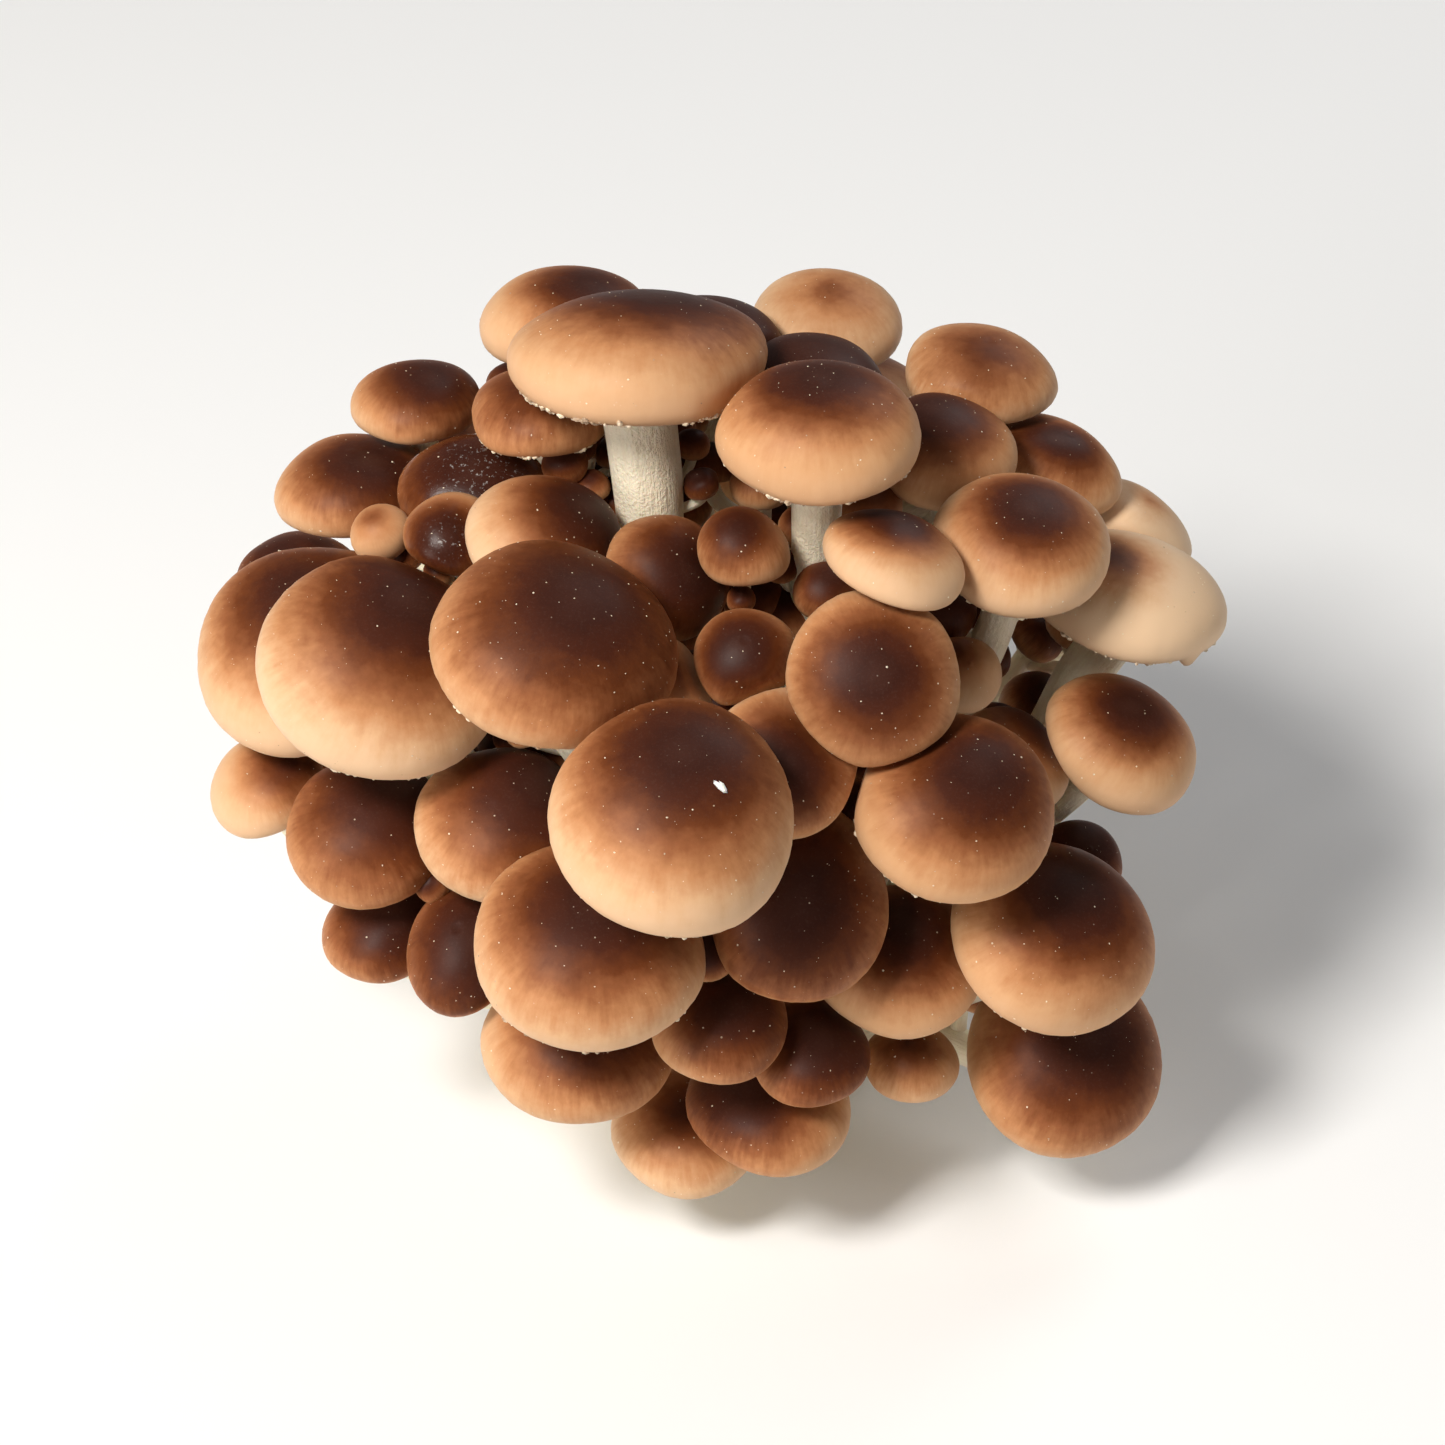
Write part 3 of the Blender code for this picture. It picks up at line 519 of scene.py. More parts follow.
skin_finish, shader, tree = new_finish("pioppino_skin", 0.12, 0.04)
place = tree.node("ShaderNodeTexCoord", output=3)
streak = tree.own_value("streak", 1)
margin = tree.own_value("margin")
mottle = tree.noise(place, 6 * MM, 3.0)
cloud = tree.noise(place, 1.6 * MM, 4.0, 0.6)
fibre = tree.noise(streak, 0.085, 4.0, 0.6)
fine = tree.noise(place, 0.30 * MM, 2.0)
out = tree.own_value("ripe") + (mottle - 0.5) * 0.18 + (cloud - 0.5) * 0.09 + (fibre - 0.5) * margin * 0.20
colour = tree.node("ShaderNodeValToRGB", {"stops": SKIN_STOPS}, {0: out})
colour = tree.blend(tree.own_value("pale") * out.step(0.58, 0.95), colour, PALE_MARGIN)
# a fine greyish bloom of dust on the dark crown, which also stands in for a painted sheen
bloom_and_sheen = tree.noise(place, 0.50 * MM, 3.0, 0.7).step(0.50, 0.72) * (1 - out.step(0.25, 0.55))
colour = tree.blend(bloom_and_sheen * 0.05, colour, DUST_AND_SHEEN)
# painted shade: the edge of every margin, where it rolls under, is darkened towards umber
colour = tree.blend(tree.own_value("rim") * 0.55, colour, RIM_PAINTED_SHADE)
wet = tree.own_value("wet")
# painted highlight: on wet caps, pale glinting flecks are painted near the crown
painted_glint = tree.noise(place, 0.9 * MM, 4.0, 0.7).step(0.58, 0.70) * (1 - out.step(0.08, 0.30))
colour = tree.blend(wet * painted_glint * 0.6, colour, PAINTED_WET_GLINT)
specks = tree.dots(place, 1.5 * MM, 0.17 * MM, 0.4) * tree.noise(place, 9 * MM).step(0.42, 0.62)
colour = tree.blend(specks * 0.4, colour, GRAIN)
satin = 0.47 + (mottle - 0.5) * 0.14 - wet * 0.24 + specks * 0.2
relief = fine * 0.30 + cloud * 0.6 + fibre * margin * 0.7 + specks * 0.8
coat(shader, tree, colour, satin, relief, 0.45, 0.10)

veil_finish, shader, tree = new_finish("veil_cream", 0.25, 0.12)
place = tree.node("ShaderNodeTexCoord", output=3)
streak = tree.own_value("streak", 1)
fibre = tree.noise(streak, 0.03, 3.0, 0.65)
blot = tree.noise(place, 3.5 * MM, 3.0)
colour = tree.blend(fibre.step(0.35, 0.7), VEIL_SHADE, VEIL_CREAM)
colour = tree.blend(blot.step(0.5, 0.75) * 0.5, colour, VEIL_BLOT)
relief = fibre * 1.4 + tree.noise(place, 0.4 * MM) * 0.5
coat(shader, tree, colour, 0.72 + (blot - 0.5) * 0.2, relief, 0.7, 0.2)

MOST_TORN = ("top_2", "top_7", "top_8")        # the caps that keep most of their torn veil,
TORN_MORE = 2.5                       # and how much more they keep
TORN = ("right_5", 318, 1.9)          # the one cap with a torn tip on its margin: where, how long
TORN_WIDTH = 0.075                    # and how wide, in radians around the cap
lobe_draw = np.random.default_rng(11)
lump_draw = np.random.default_rng(5)


def shaped(k, points, lobes):
    """Points of a round cap, in its own axes, as cap k really grew: lobed, wavy, pressed and in place."""
    r = radius[k]
    around = np.arctan2(points[:, 1], points[:, 0])
    share = np.hypot(points[:, 0], points[:, 1]) / r
    points = points.copy()
    swell = LOBES[0] * np.sin(2 * around + lobes[0]) + LOBES[1] * np.sin(3 * around + lobes[1])
    points[:, :2] *= (1 + swell * np.clip(share / 0.9, 0, 1) ** 2)[:, None]
    wave = WAVES[0] * r * np.sin(2 * around + lobes[2]) + WAVES[1] * r * np.sin(4 * around + lobes[3])
    points[:, 2] += wave * np.clip((share - 0.55) / 0.45, 0, 1) ** 2
    points[:, 1] *= width[k]
    return press(points @ own[k] + centre[k], k)


def cap_net(r, high, low_by, kind, sides, coarse=1):
    """A round cap in its own axes: points, faces, which finish each has, and how far out each point is."""
    rows = half_outline(kind)[coarse - 1::coarse]
    skin_rings = (CROWN_RINGS + ROLL_RINGS) // coarse
    theta = np.arange(sides) / sides * math.tau
    rho, top, low = (np.array(column)[:, None] for column in zip(*rows))
    phase = lump_draw.uniform(0, math.tau, 6)
    furrow = sum(np.sin(n * theta + p) for n, p in zip((17, 26, 39, 53), phase)) / 4
    rim = rho * (1 + FURROW * furrow[None] * smooth(rho, 0.80, 1.0))
    points = np.stack([rim * r * np.cos(theta), rim * r * np.sin(theta),
                       np.broadcast_to(top * high + low * low_by, rim.shape)], -1)
    turns = lump_draw.normal(size=(5, 3)) / r * LUMP_PITCH
    shift = sum(np.sin(points @ w + p) for w, p in zip(turns, phase[1:])) * LUMP / 2
    away = [np.broadcast_to(part, rim.shape) for part in (np.cos(theta), np.sin(theta), top * LUMP_LIFT)]
    points += shift[..., None] * np.stack(away, -1)
    points = np.vstack([[0, 0, high], points.reshape(-1, 3), [0, 0, rows[-1][2] * low_by]])
    which = [0] * (skin_rings * sides) + [1] * ((len(rows) + 1 - skin_rings) * sides)

    # how far out a point lies along the skin: 0 on the axis, 1 on the lowest line of the margin
    line = np.vstack([[0, high], np.c_[rho * r, top * high + low * low_by]])
    along = np.concatenate([[0], np.cumsum(np.linalg.norm(np.diff(line, axis=0), axis=1))])
    along /= along[skin_rings]
    arc = np.concatenate([[0], np.repeat(along[1:], sides), along[-1:]])
    angle = np.concatenate([[0], np.tile(theta, len(rows)), [0]])
    return points, quads(len(rows), sides), which, arc, angle


RIM_RIPE = 0.62                       # the least ripeness of the skin right at the margin
BLEACHED = 0.9                        # ripeness of the crown of a cap with no dark at all
SPREAD_APART = 7.3                    # sets each cap's streaks apart from the next one's
CAP_SIDES = ((15, 96), (11, 80), (0, 64))      # least radius, how many sides the net of such a cap has


def skin_values(k, arc, angle, crown, dark, spread, pale, wet):
    """What the skin's finish reads: how ripe each point is, seen from the crown, how streaked, and how deep
    the painted shade along the edge of its margin is.
    """
    away = np.hypot(arc * np.cos(angle) - crown[0], arc * np.sin(angle) - crown[1])
    bleached = BLEACHED * (1 - min(dark, 1))
    ripe = bleached + (1 - bleached) * away / spread - 0.5 * max(dark - 1, 0)
    ripe = np.maximum(ripe, RIM_RIPE * smooth(arc, 0.55, 0.97))
    streak = np.c_[np.cos(angle), np.sin(angle), 0.35 * arc] + SPREAD_APART * k
    ragged = np.clip(0.35 + 0.65 * np.sin(2 * angle + k) * np.sin(5 * angle + 2 * k), 0, 1)
    ragged = ragged * (TORN_MORE if k < count and names[k] in MOST_TORN else 1.0)
    beaded = k < count and (kinds[k] == "open" or names[k] in MOST_TORN)
    lip = (arc > 0.955) & (arc < 1.02) & beaded
    # "rim" is the mask of the painted shade along the edge of the margin
    return {"ripe": ripe, "margin": smooth(arc, 0.25, 0.8), "rim": smooth(arc, 0.86, 1.0),
            "pale": np.full(len(arc), pale), "wet": np.full(len(arc), wet), "streak": streak,
            "skinned": np.where(arc < 0.98, 1.0, 0.0), "shredded": np.where(lip, ragged, 0.0)}


def graded(steps, size):
    """The entry of the first step that this size is above."""
    return next(entry for least, entry in steps if size > least)


def showing_at(k, points, arc, across, up):
    """The point of the top of cap k that shows at this place in the view, and its outward direction."""
    local = (points - centre[k]) @ own[k].T
    normal = unit(local / np.array([radius[k], radius[k], height[k]]) ** 2) @ own[k]
    near = 1 - (points - HEART) @ OUT / EYE
    aside = np.hypot((points - HEART) @ ACROSS / near - across, (points - HEART) @ UP / near - up)
    best = np.argmin(aside + 1e3 * ((arc > 0.9) | (normal @ unit(VIEWER - centre[k]) < 0.05)))
    return best, normal[best]


CHIPPED = ("front_4", -0.5, -11.6)    # the cap that the white chip lies on, and where that shows
grown = []                            # for each cap: its piece and its lobes
for k, name in enumerate(names):
    r = radius[k]
    lobes = lobe_draw.uniform(0, math.tau, 4)
    points, faces, which, arc, angle = cap_net(r, height[k], roll[k], kinds[k], graded(CAP_SIDES, r))
    if name == TORN[0]:
        near = np.exp(-((angle - math.radians(TORN[1])) / TORN_WIDTH) ** 2)
        points[:, 2] -= TORN[2] * near * smooth(arc, 0.80, 0.95) * (arc < 1.15)
    points = shaped(k, points, lobes)
    best = showing_at(k, points, arc, *crowns[k])[0] if crowns[k] else 0
    crown = (arc[best] * math.cos(angle[best]), arc[best] * math.sin(angle[best]))
    cap = new_piece("mushroom_cap_" + name, points, faces, (skin_finish, veil_finish),
                    skin_values(k, arc, angle, crown, *skins[k]), which)
    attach(cap, "root")
    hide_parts("cap_" + name)
    grown.append((cap, lobes))
    if name == CHIPPED[0]:
        best, chip_lift = showing_at(k, points, arc, *CHIPPED[1:])
        chip_seat = points[best]

# The gills. Under each open cap thin blades run in from the margin to the stem, every other one short; they
# are buff, dry and a little uneven. One rosette is made flat and then follows its cap's own shape.
BLADES = 112
GILL_DEPTH = 0.6                      # of the roll of the margin
GILL_THICKNESS = 0.0105               # of the cap's radius
GILL_BUFF = (0.560, 0.420, 0.270)
GILL_UMBER = (0.420, 0.290, 0.170)
gill_finish, shader, tree = new_finish("gill_buff", 0.2, 0.1)
place = tree.node("ShaderNodeTexCoord", output=3)
blot = tree.noise(place, 2.5 * MM, 3.0)
coat(shader, tree, tree.blend(blot, GILL_BUFF, GILL_UMBER), 0.85)


def new_repeat(name, entries):
    """A geometry node group with named inputs: the group, its tree and what each input gives."""
    group = bpy.data.node_groups.new(name, "GeometryNodeTree")
    for label, kind in [("Base", "Geometry")] + entries:
        group.interface.new_socket(label, in_out="INPUT", socket_type="NodeSocket" + kind)
    group.interface.new_socket("Mesh", in_out="OUTPUT", socket_type="NodeSocketGeometry")
    tree = Tree(group)
    start = group.nodes.new("NodeGroupInput")
    return group, tree, {label: Wire(tree, start.outputs[label]) for label, _ in [("Base", "")] + entries}


def end_repeat(group, tree, copies, finish):
    """Close such a group: its copies are made real and get their finish."""
    real = tree.node("GeometryNodeRealizeInstances", None, {"Geometry": copies})
    finished = tree.node("GeometryNodeSetMaterial", None, {"Geometry": real, "Material": finish})
    tree.plug(group.nodes.new("NodeGroupOutput").inputs["Mesh"], finished)


def repeated(group, base, values):
    """The mesh that a node group makes on a base object, with its inputs set by name."""
    step = base.modifiers.new(group.name, "NODES")
    step.node_group = group
    for entry in group.interface.items_tree:
        if entry.in_out == "INPUT" and entry.name in values:
            step[entry.identifier] = values[entry.name]
    bpy.context.view_layer.update()
    mesh = bpy.data.meshes.new_from_object(base.evaluated_get(bpy.context.evaluated_depsgraph_get()))
    base.modifiers.remove(step)
    return mesh


rosette, tree, given = new_repeat("gill_rosette", [
    ("Blades", "Int"), ("Gill Line", "Float"), ("Length", "Float"), ("Depth", "Float"),
    ("Thickness", "Float"), ("Seed", "Int")])

# one blade, a unit long: it runs inwards from its place, is thinnest along its free edge, and hangs lowest
# about half way in
cube = tree.node("GeometryNodeMeshCube", None, {"Size": (1, 1, 1), "Vertices X": 7})
place = tree.node("GeometryNodeInputPosition")
part = tree.node("ShaderNodeSeparateXYZ", None, {0: place})
x, y, z = (Wire(tree, socket) for socket in part.socket.node.outputs)
inward = 0.5 - x
free_edge = 0.05 + inward * 0.4 + inward * (1 - inward) * 2.4
blade_form = tree.node("ShaderNodeCombineXYZ", None, {
    0: x - 0.5, 1: y * (z * 0.65 + 0.675), 2: (z + 0.5) * 0.08 - (0.5 - z) * free_edge})
blade = tree.node("GeometryNodeSetPosition", None, {"Geometry": cube, "Position": blade_form})
ring = tree.node("GeometryNodeMeshCircle", None, {"Vertices": given["Blades"], "Radius": given["Gill Line"]})
number = tree.node("GeometryNodeInputIndex")
odd = number.maths("MODULO", number, 2)
chance = tree.node("FunctionNodeRandomValue", None, {2: -1.0, 3: 1.0, "Seed": given["Seed"]}, 1)
bearing = number * math.tau / given["Blades"] + chance * 0.012
run = given["Length"] * (1 - odd * (0.5 + chance * 0.12))
blades = tree.node("GeometryNodeInstanceOnPoints", None, {
    "Points": ring, "Instance": blade,
    "Rotation": tree.node("ShaderNodeCombineXYZ", None, {2: bearing}),
    "Scale": tree.node("ShaderNodeCombineXYZ", None, {
        0: run, 1: given["Thickness"], 2: given["Depth"] * (1 - odd * 0.25 + chance * 0.06)})})
end_repeat(rosette, tree, blades, gill_finish)



def places_of(mesh):
    """Where the points of a mesh are, in its own units."""
    flat = np.empty(len(mesh.vertices) * 3)
    mesh.vertices.foreach_get("co", flat)
    return flat.reshape(-1, 3)


seat = placed("seat", bpy.data.meshes.new("seat"))
for k, name in enumerate(names):
    if kinds[k] == "open":
        r = radius[k]
        gills = repeated(rosette, seat, {
            "Blades": BLADES, "Gill Line": GILL_LINE * r, "Length": (GILL_LINE - HUB) * r,
            "Depth": GILL_DEPTH * roll[k], "Thickness": GILL_THICKNESS * r, "Seed": k})
        flat = places_of(gills)       # the rosette is still in millimetres here
        inward = np.clip((GILL_LINE - np.hypot(flat[:, 0], flat[:, 1]) / r) / (GILL_LINE - HUB), 0, 1)
        flat[:, 2] += (GILL_ARCH * np.sin(math.pi * inward) - GILL_LEVEL) * roll[k]
        gills.vertices.foreach_set("co", (shaped(k, flat, grown[k][1]) * MM).ravel())
        gills.update()
        gills_piece = placed("gills_" + name, gills)
        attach(gills_piece, "root")
bpy.data.objects.remove(seat)

# The crumbs. Pale grains of dust and spore lie all over the skin, and shreds of torn veil hang on the margins
# of the open caps. Both are scattered by one rule; most are well under half a millimetre.
CRUMB_DULL = (0.380, 0.260, 0.170)
CRUMB_PALE = (0.820, 0.690, 0.510)
crumb_finish, shader, tree = new_finish("pale_crumb", 0.2, 0.1)
place = tree.node("ShaderNodeTexCoord", output=3)
bright = tree.noise(place, 2.5 * MM).step(0.36, 0.54)
coat(shader, tree, tree.blend(bright, CRUMB_DULL, CRUMB_PALE), 0.8)
scatter, tree, given = new_repeat("scattered_crumbs", [
    ("Where", "String"), ("Per Square Metre", "Float"), ("Smallest", "Float"), ("Largest", "Float"),
    ("Flatness", "Float"), ("Seed", "Int")])
where = tree.node("GeometryNodeInputNamedAttribute", {"data_type": "FLOAT"}, {"Name": given["Where"]})
spread_out = tree.node("GeometryNodeDistributePointsOnFaces", {"distribute_method": "RANDOM"}, {
    "Mesh": given["Base"], "Density": where * given["Per Square Metre"], "Seed": given["Seed"]})
rotation = Wire(tree, spread_out.socket.node.outputs["Rotation"])
chance = tree.node("FunctionNodeRandomValue", None, {2: 0.0, 3: 1.0, "Seed": given["Seed"]}, 1)
size = given["Smallest"] + (given["Largest"] - given["Smallest"]) * chance * chance
uneven = tree.node("FunctionNodeRandomValue", {"data_type": "FLOAT_VECTOR"},
                   {0: (0.6, 0.6, 0.8), 1: (1.3, 1.3, 1.2), "Seed": given["Seed"] + 1})
grain_size = tree.node("ShaderNodeVectorMath", {"operation": "MULTIPLY"}, {
    0: uneven, 1: tree.node("ShaderNodeCombineXYZ", None, {0: size, 1: size, 2: size * given["Flatness"]})})
grain = tree.node("GeometryNodeMeshIcoSphere", None, {"Radius": 1.0, "Subdivisions": 1})
crumbs = tree.node("GeometryNodeInstanceOnPoints", None, {
    "Points": spread_out, "Instance": grain, "Rotation": rotation, "Scale": grain_size})
end_repeat(scatter, tree, crumbs, crumb_finish)

every_cap = bmesh.new()
for cap, _ in grown:
    every_cap.from_mesh(cap.data)
bed_mesh = bpy.data.meshes.new("bed")
every_cap.to_mesh(bed_mesh)
every_cap.free()
bed = placed("bed", bed_mesh)
for name, values in (
        ("dust_grains", {"Where": "skinned", "Per Square Metre": 5.2e4, "Smallest": 0.05 * MM,
                         "Largest": 0.19 * MM, "Flatness": 0.6, "Seed": 3}),
        ("veil_shreds", {"Where": "shredded", "Per Square Metre": 1.2e6, "Smallest": 0.16 * MM,
                         "Largest": 0.80 * MM, "Flatness": 0.8, "Seed": 4})):
    crumbs = placed(name, repeated(scatter, bed, values))
    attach(crumbs, "root")
bpy.data.objects.remove(bed)

# The white chip. One thin flake of torn veil lies on the foremost large cap, bright beside its dark crown.
CHIP_OUTLINE = [(-0.95, -1.1), (-0.2, -1.45), (0.6, -1.05), (1.15, -0.2), (0.9, 0.75), (0.25, 0.35),
                (-0.05, 1.35), (-0.8, 1.0), (-1.1, 0.0)]
CHIP_THICKNESS = 0.4
CHIP_SIZE = (0.62, 1.1, 1.0)           # the outline is pulled out to a sliver
CHIP_LIE = 42                         # which way the sliver points
CHIP_WHITE = (0.900, 0.880, 0.840)
chip_finish, shader, tree = new_finish("white_chip", 0.3, 0.2)
coat(shader, tree, CHIP_WHITE, 0.6)
edge = np.array([(x, y, 0.0) for x, y in CHIP_OUTLINE])
crest = edge * [0.72, 0.72, 1] + [0, 0, CHIP_THICKNESS]
crest[:, 2] += 0.12 * np.sin(3.0 * np.arange(len(edge)))
points = np.vstack([[0.1, 0.0, 1.3 * CHIP_THICKNESS], crest, edge, [0, 0, -0.1]]) * CHIP_SIZE
lie = math.radians(CHIP_LIE)
points[:, :2] = points[:, :2] @ [[math.cos(lie), math.sin(lie)], [-math.sin(lie), math.cos(lie)]]
x = unit(np.cross(UP, chip_lift))
points = points @ np.stack([x, np.cross(chip_lift, x), chip_lift]) + chip_seat
chip = new_piece("white_chip", points, quads(2, len(edge)), (chip_finish,))
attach(chip, "root")

# The stems. Each leaves its cap squarely, bends clear of its neighbours' caps and runs down into the butt.
# They are fibrous and cream, finely ridged along their length, and a little scurfy near the cap; towards the
# foot they darken, partly their own browner base and partly painted shade deep in the clump.
BUTT_RADIUS = 32
BUTT_HEIGHT = 30
OPEN_STEM = 0.255                     # radius of the stem under an open cap, of the cap's radius
STOUT_STEMS = {"top_2": 0.32, "top_7": 0.29, "right_5": 0.32}   # those that show, measured
VEILED_STEM = 0.2                     # the same under a veiled cap
BUTTON_STEM = 0.36                    # and under a button
THINNEST_STEM = 1.6
STEM_CLEARANCE = 1.0                  # how far a stem keeps from the cap of another mushroom
SQUARE = 0.6                          # how far a stem leaves its cap squarely, of the stem's radius
BEND = 0.34                           # how long it goes on that way, of the stem's length
STEM_LIFT = 1.5                       # the least air under a stem that runs out low
SET_IN = 0.35                         # how far the model's stem stops short of its cap
OPEN_HUB = 0.62                       # how low it begins under an open cap, of the depth of the margin
OPEN_REACH, VEILED_REACH = 0.35, 0.6  # how far up into the cap it runs: of that depth, and in millimetres
ROOTS_ABOUT = np.array([0, 8])        # what the roots gather about
ROOT_SHARE = 0.36                     # how far out a root is, of how far out its cap is,
ROOT_GATHER = 0.0011                  # and how much less for each millimetre that the cap is farther out
ROOT_MARGIN = 5                       # how far the roots stay inside the edge of the butt
LOWEST_ROOT = 6
ROOT_ROUNDS, STEM_ROUNDS = 200, 260
PART_ROUNDS, EASE_ROUNDS = 180, 230   # in how many of these the stems part, and in how many they straighten
STEM_ROOM = 0.95                      # how close two stems come, as a share of their radii together
PARTING = 0.2                         # how much of that they clear in one round,
CLEARING = 0.9                        # how much of it between a stem and a cap,
FOLLOWING = 1.6                       # how far a ring of the path follows the places around it
EASING = 0.16                         # and how strongly a bend straightens
STEM_SHAPE = np.array([1.0, 0.92, 0.87, 0.85, 0.85, 0.84, 0.8])  # thickness of a stem down its length

# buttons that never grew, in the gaps: across, up, radius, lean across, lean up, set back
BUTTONS = [
    (-38, 60, 4.5, 0.0, 0.8, -32),
    (11, 18.5, 6.0, 0.0, 0.6, -24),
    (-1.5, -42, 5.0, 0.0, 0.5, -26),
    (7, 41.5, 5.5, 0.0, 0.8, -22),
    (-49, -46, 5.5, -0.1, 0.6, -26),
]

hub_drop = np.array([(OPEN_HUB if kind == "open" else VEIL_LOW) for kind in kinds]) * roll + SET_IN
hubs = list(centre - axis * hub_drop[:, None])
leans = list(axis)
stem_radius = [STOUT_STEMS.get(name, OPEN_STEM) * r if kind == "open" else max(VEILED_STEM * r, THINNEST_STEM)
               for name, r, kind in zip(names, radius, kinds)]
for across, up, r, lean_a, lean_u, stands in BUTTONS:
    hubs.append(on_view(across, up, stands)[0])
    leans.append(lean_on_view(lean_a, lean_u))
    stem_radius.append(BUTTON_STEM * r)
hubs, leans, stem_radius = np.array(hubs), np.array(leans), np.array(stem_radius)
stems = len(hubs)

# roots spread over the butt in the same order as the caps above, pushed apart so each has its own place
plan = hubs[:, :2] - ROOTS_ABOUT
roots = plan * (ROOT_SHARE - ROOT_GATHER * np.linalg.norm(plan, axis=1))[:, None]
for _ in range(ROOT_ROUNDS):
    d = roots[:, None] - roots[None]
    dist = np.linalg.norm(d, axis=2) + 1e-6
    room = STEM_ROOM * (stem_radius[:, None] + stem_radius[None])
    push = np.clip(room - dist, 0, None) / dist
    np.fill_diagonal(push, 0)
    roots += PARTING * (d * push[..., None]).sum(1)
    far = np.linalg.norm(roots, axis=1)
    roots *= np.minimum(1, (BUTT_RADIUS - ROOT_MARGIN) / np.maximum(far, 1e-6))[:, None]
rise = 0.80 * BUTT_HEIGHT * np.sqrt(1 - (np.linalg.norm(roots, axis=1) / BUTT_RADIUS) ** 2) - 3
roots = np.c_[roots, np.clip(np.minimum(rise, 0.5 * hubs[:, 2]), LOWEST_ROOT, None)]

# a stem is a bent line of RINGS points: the hub, one square below it, then free ones down to the root
RINGS = 7
paths = np.zeros((stems, RINGS, 3))
straight = np.maximum(THINNEST_STEM, SQUARE * stem_radius)[:, None]
below = hubs - leans * straight
reach = np.linalg.norm(below - roots, axis=1)[:, None]
handle = below - leans * BEND * reach
rising = roots + unit(np.c_[0.016 * roots[:, :2], np.ones(stems)]) * BEND * reach
for k, t in enumerate((0, 0.14, 0.33, 0.55, 0.77, 1)):
    paths[:, k + 1] = ((1 - t) ** 3 * below + 3 * t * (1 - t) ** 2 * handle
                       + 3 * t * t * (1 - t) * rising + t ** 3 * roots)
paths[:, 0] = hubs
paths[:, :, 2] = np.maximum(paths[:, :, 2], stem_radius[:, None] + STEM_LIFT)
unhindered = paths.copy()
spots = np.array([seg + f for seg in range(RINGS - 1) for f in (0, 0.2, 0.4, 0.6, 0.8)] + [RINGS - 1.0])
share_of = np.clip(1 - np.abs(spots[:, None] - np.arange(RINGS)), 0, None)
owner = np.repeat(np.arange(stems), len(spots))
thick = (stem_radius[:, None] * (share_of @ STEM_SHAPE)[None]).ravel()
spot = np.tile(spots, stems)
sample = np.nonzero((spot > 1) & (spot % 1 < 0.1))[0]
own_stem = owner[sample][:, None] == owner[sample][None]
size_up = np.stack([radius, radius * width, height], 1)
size_down = np.stack([radius, radius * width, VEIL_LOW * roll], 1)
for turn_no in range(STEM_ROUNDS):
    flat = np.einsum("sr,krc->ksc", share_of, paths).reshape(-1, 3)
    shift = np.zeros_like(flat)
    if turn_no < PART_ROUNDS:
        near = flat[sample]
        d = near[:, None] - near[None]
        dist = np.linalg.norm(d, axis=2) + 1e-6
        room = STEM_ROOM * (thick[sample][:, None] + thick[sample][None])
        close = np.clip(room - dist, 0, None) / dist
        close[own_stem] = 0
        shift[sample] += PARTING * (d * close[..., None]).sum(1)
    for c in range(count):
        local = (flat - centre[c]) @ own[c].T
        size = np.where(local[:, 2:] > 0, size_up[c], size_down[c]) + (thick + STEM_CLEARANCE)[:, None]
        f = np.linalg.norm(local / size, axis=1)
        inside = (f < 1) & (owner != c)
        moved = local[inside] * (1 / np.maximum(f[inside], 0.3) - 1)[:, None]
        shift[inside] += CLEARING * moved @ own[c]
    felt = np.einsum("sr,ksc->krc", share_of ** 2, shift.reshape(stems, -1, 3))
    paths[:, 2:-1] += (felt / (share_of ** 2).sum(0)[None, :, None])[:, 2:-1] * FOLLOWING
    if turn_no < EASE_ROUNDS:
        bent = paths - unhindered
        paths[:, 2:-1] += EASING * (bent[:, 1:-2] + bent[:, 3:] - 2 * bent[:, 2:-1])
    paths[:, :, 2] = np.maximum(paths[:, :, 2], stem_radius[:, None] + STEM_LIFT)

STEM_CREAM = (0.980, 0.890, 0.690)
STEM_SHADE = (0.910, 0.790, 0.590)
# the browner foot, also the colour of the painted shade down the stems
STEM_FOOT_AND_SHADE = (0.590, 0.430, 0.265)

stem_finish, shader, tree = new_finish("stem_cream", 0.25, 0.12)
place = tree.node("ShaderNodeTexCoord", output=3)
grain = tree.own_value("grain", 1)
strand = tree.noise(tree.stretched(grain, (1, 1, 0.10)), 0.50, 4.0, 0.6)
vein = tree.noise(tree.stretched(grain, (1, 1, 0.22)), 1.8, 3.0)
scurf = tree.noise(place, 0.8 * MM, 4.0, 0.65)
down = tree.own_value("down")
colour = tree.blend(strand.step(0.20, 0.62), STEM_SHADE, STEM_CREAM)
colour = tree.blend(vein.step(0.52, 0.80) * 0.30, colour, STEM_SHADE)
colour = tree.blend(scurf.step(0.60, 0.72) * 0.35, colour, STEM_FOOT_AND_SHADE)
# painted shade: each stem darkens over its lower half towards the foot, deep in the clump, partly its own
# browner base
colour = tree.blend(down.step(0.45, 1.0) * 0.55, colour, STEM_FOOT_AND_SHADE)
scurfy = 1 - down.step(0.05, 0.45)
relief = strand + vein * 0.8 + scurf * (0.6 + scurfy * 1.4)
coat(shader, tree, colour, 0.70 + (scurf - 0.5) * 0.25, relief, 0.9, 0.30)


def through(points, steps):
    """A smooth line through all the points, with steps places between each two."""
    ends = np.vstack([2 * points[0] - points[1], points, 2 * points[-1] - points[-2]])
    line = []
    for n in range(len(points) - 1):
        a, b, c, d = ends[n:n + 4]
        for t in np.arange(steps) / steps:
            line.append(0.5 * (2 * b + (c - a) * t + (2 * a - 5 * b + 4 * c - d) * t * t
                               + (3 * b - 3 * c + d - a) * t ** 3))
    return np.array(line + [points[-1]])


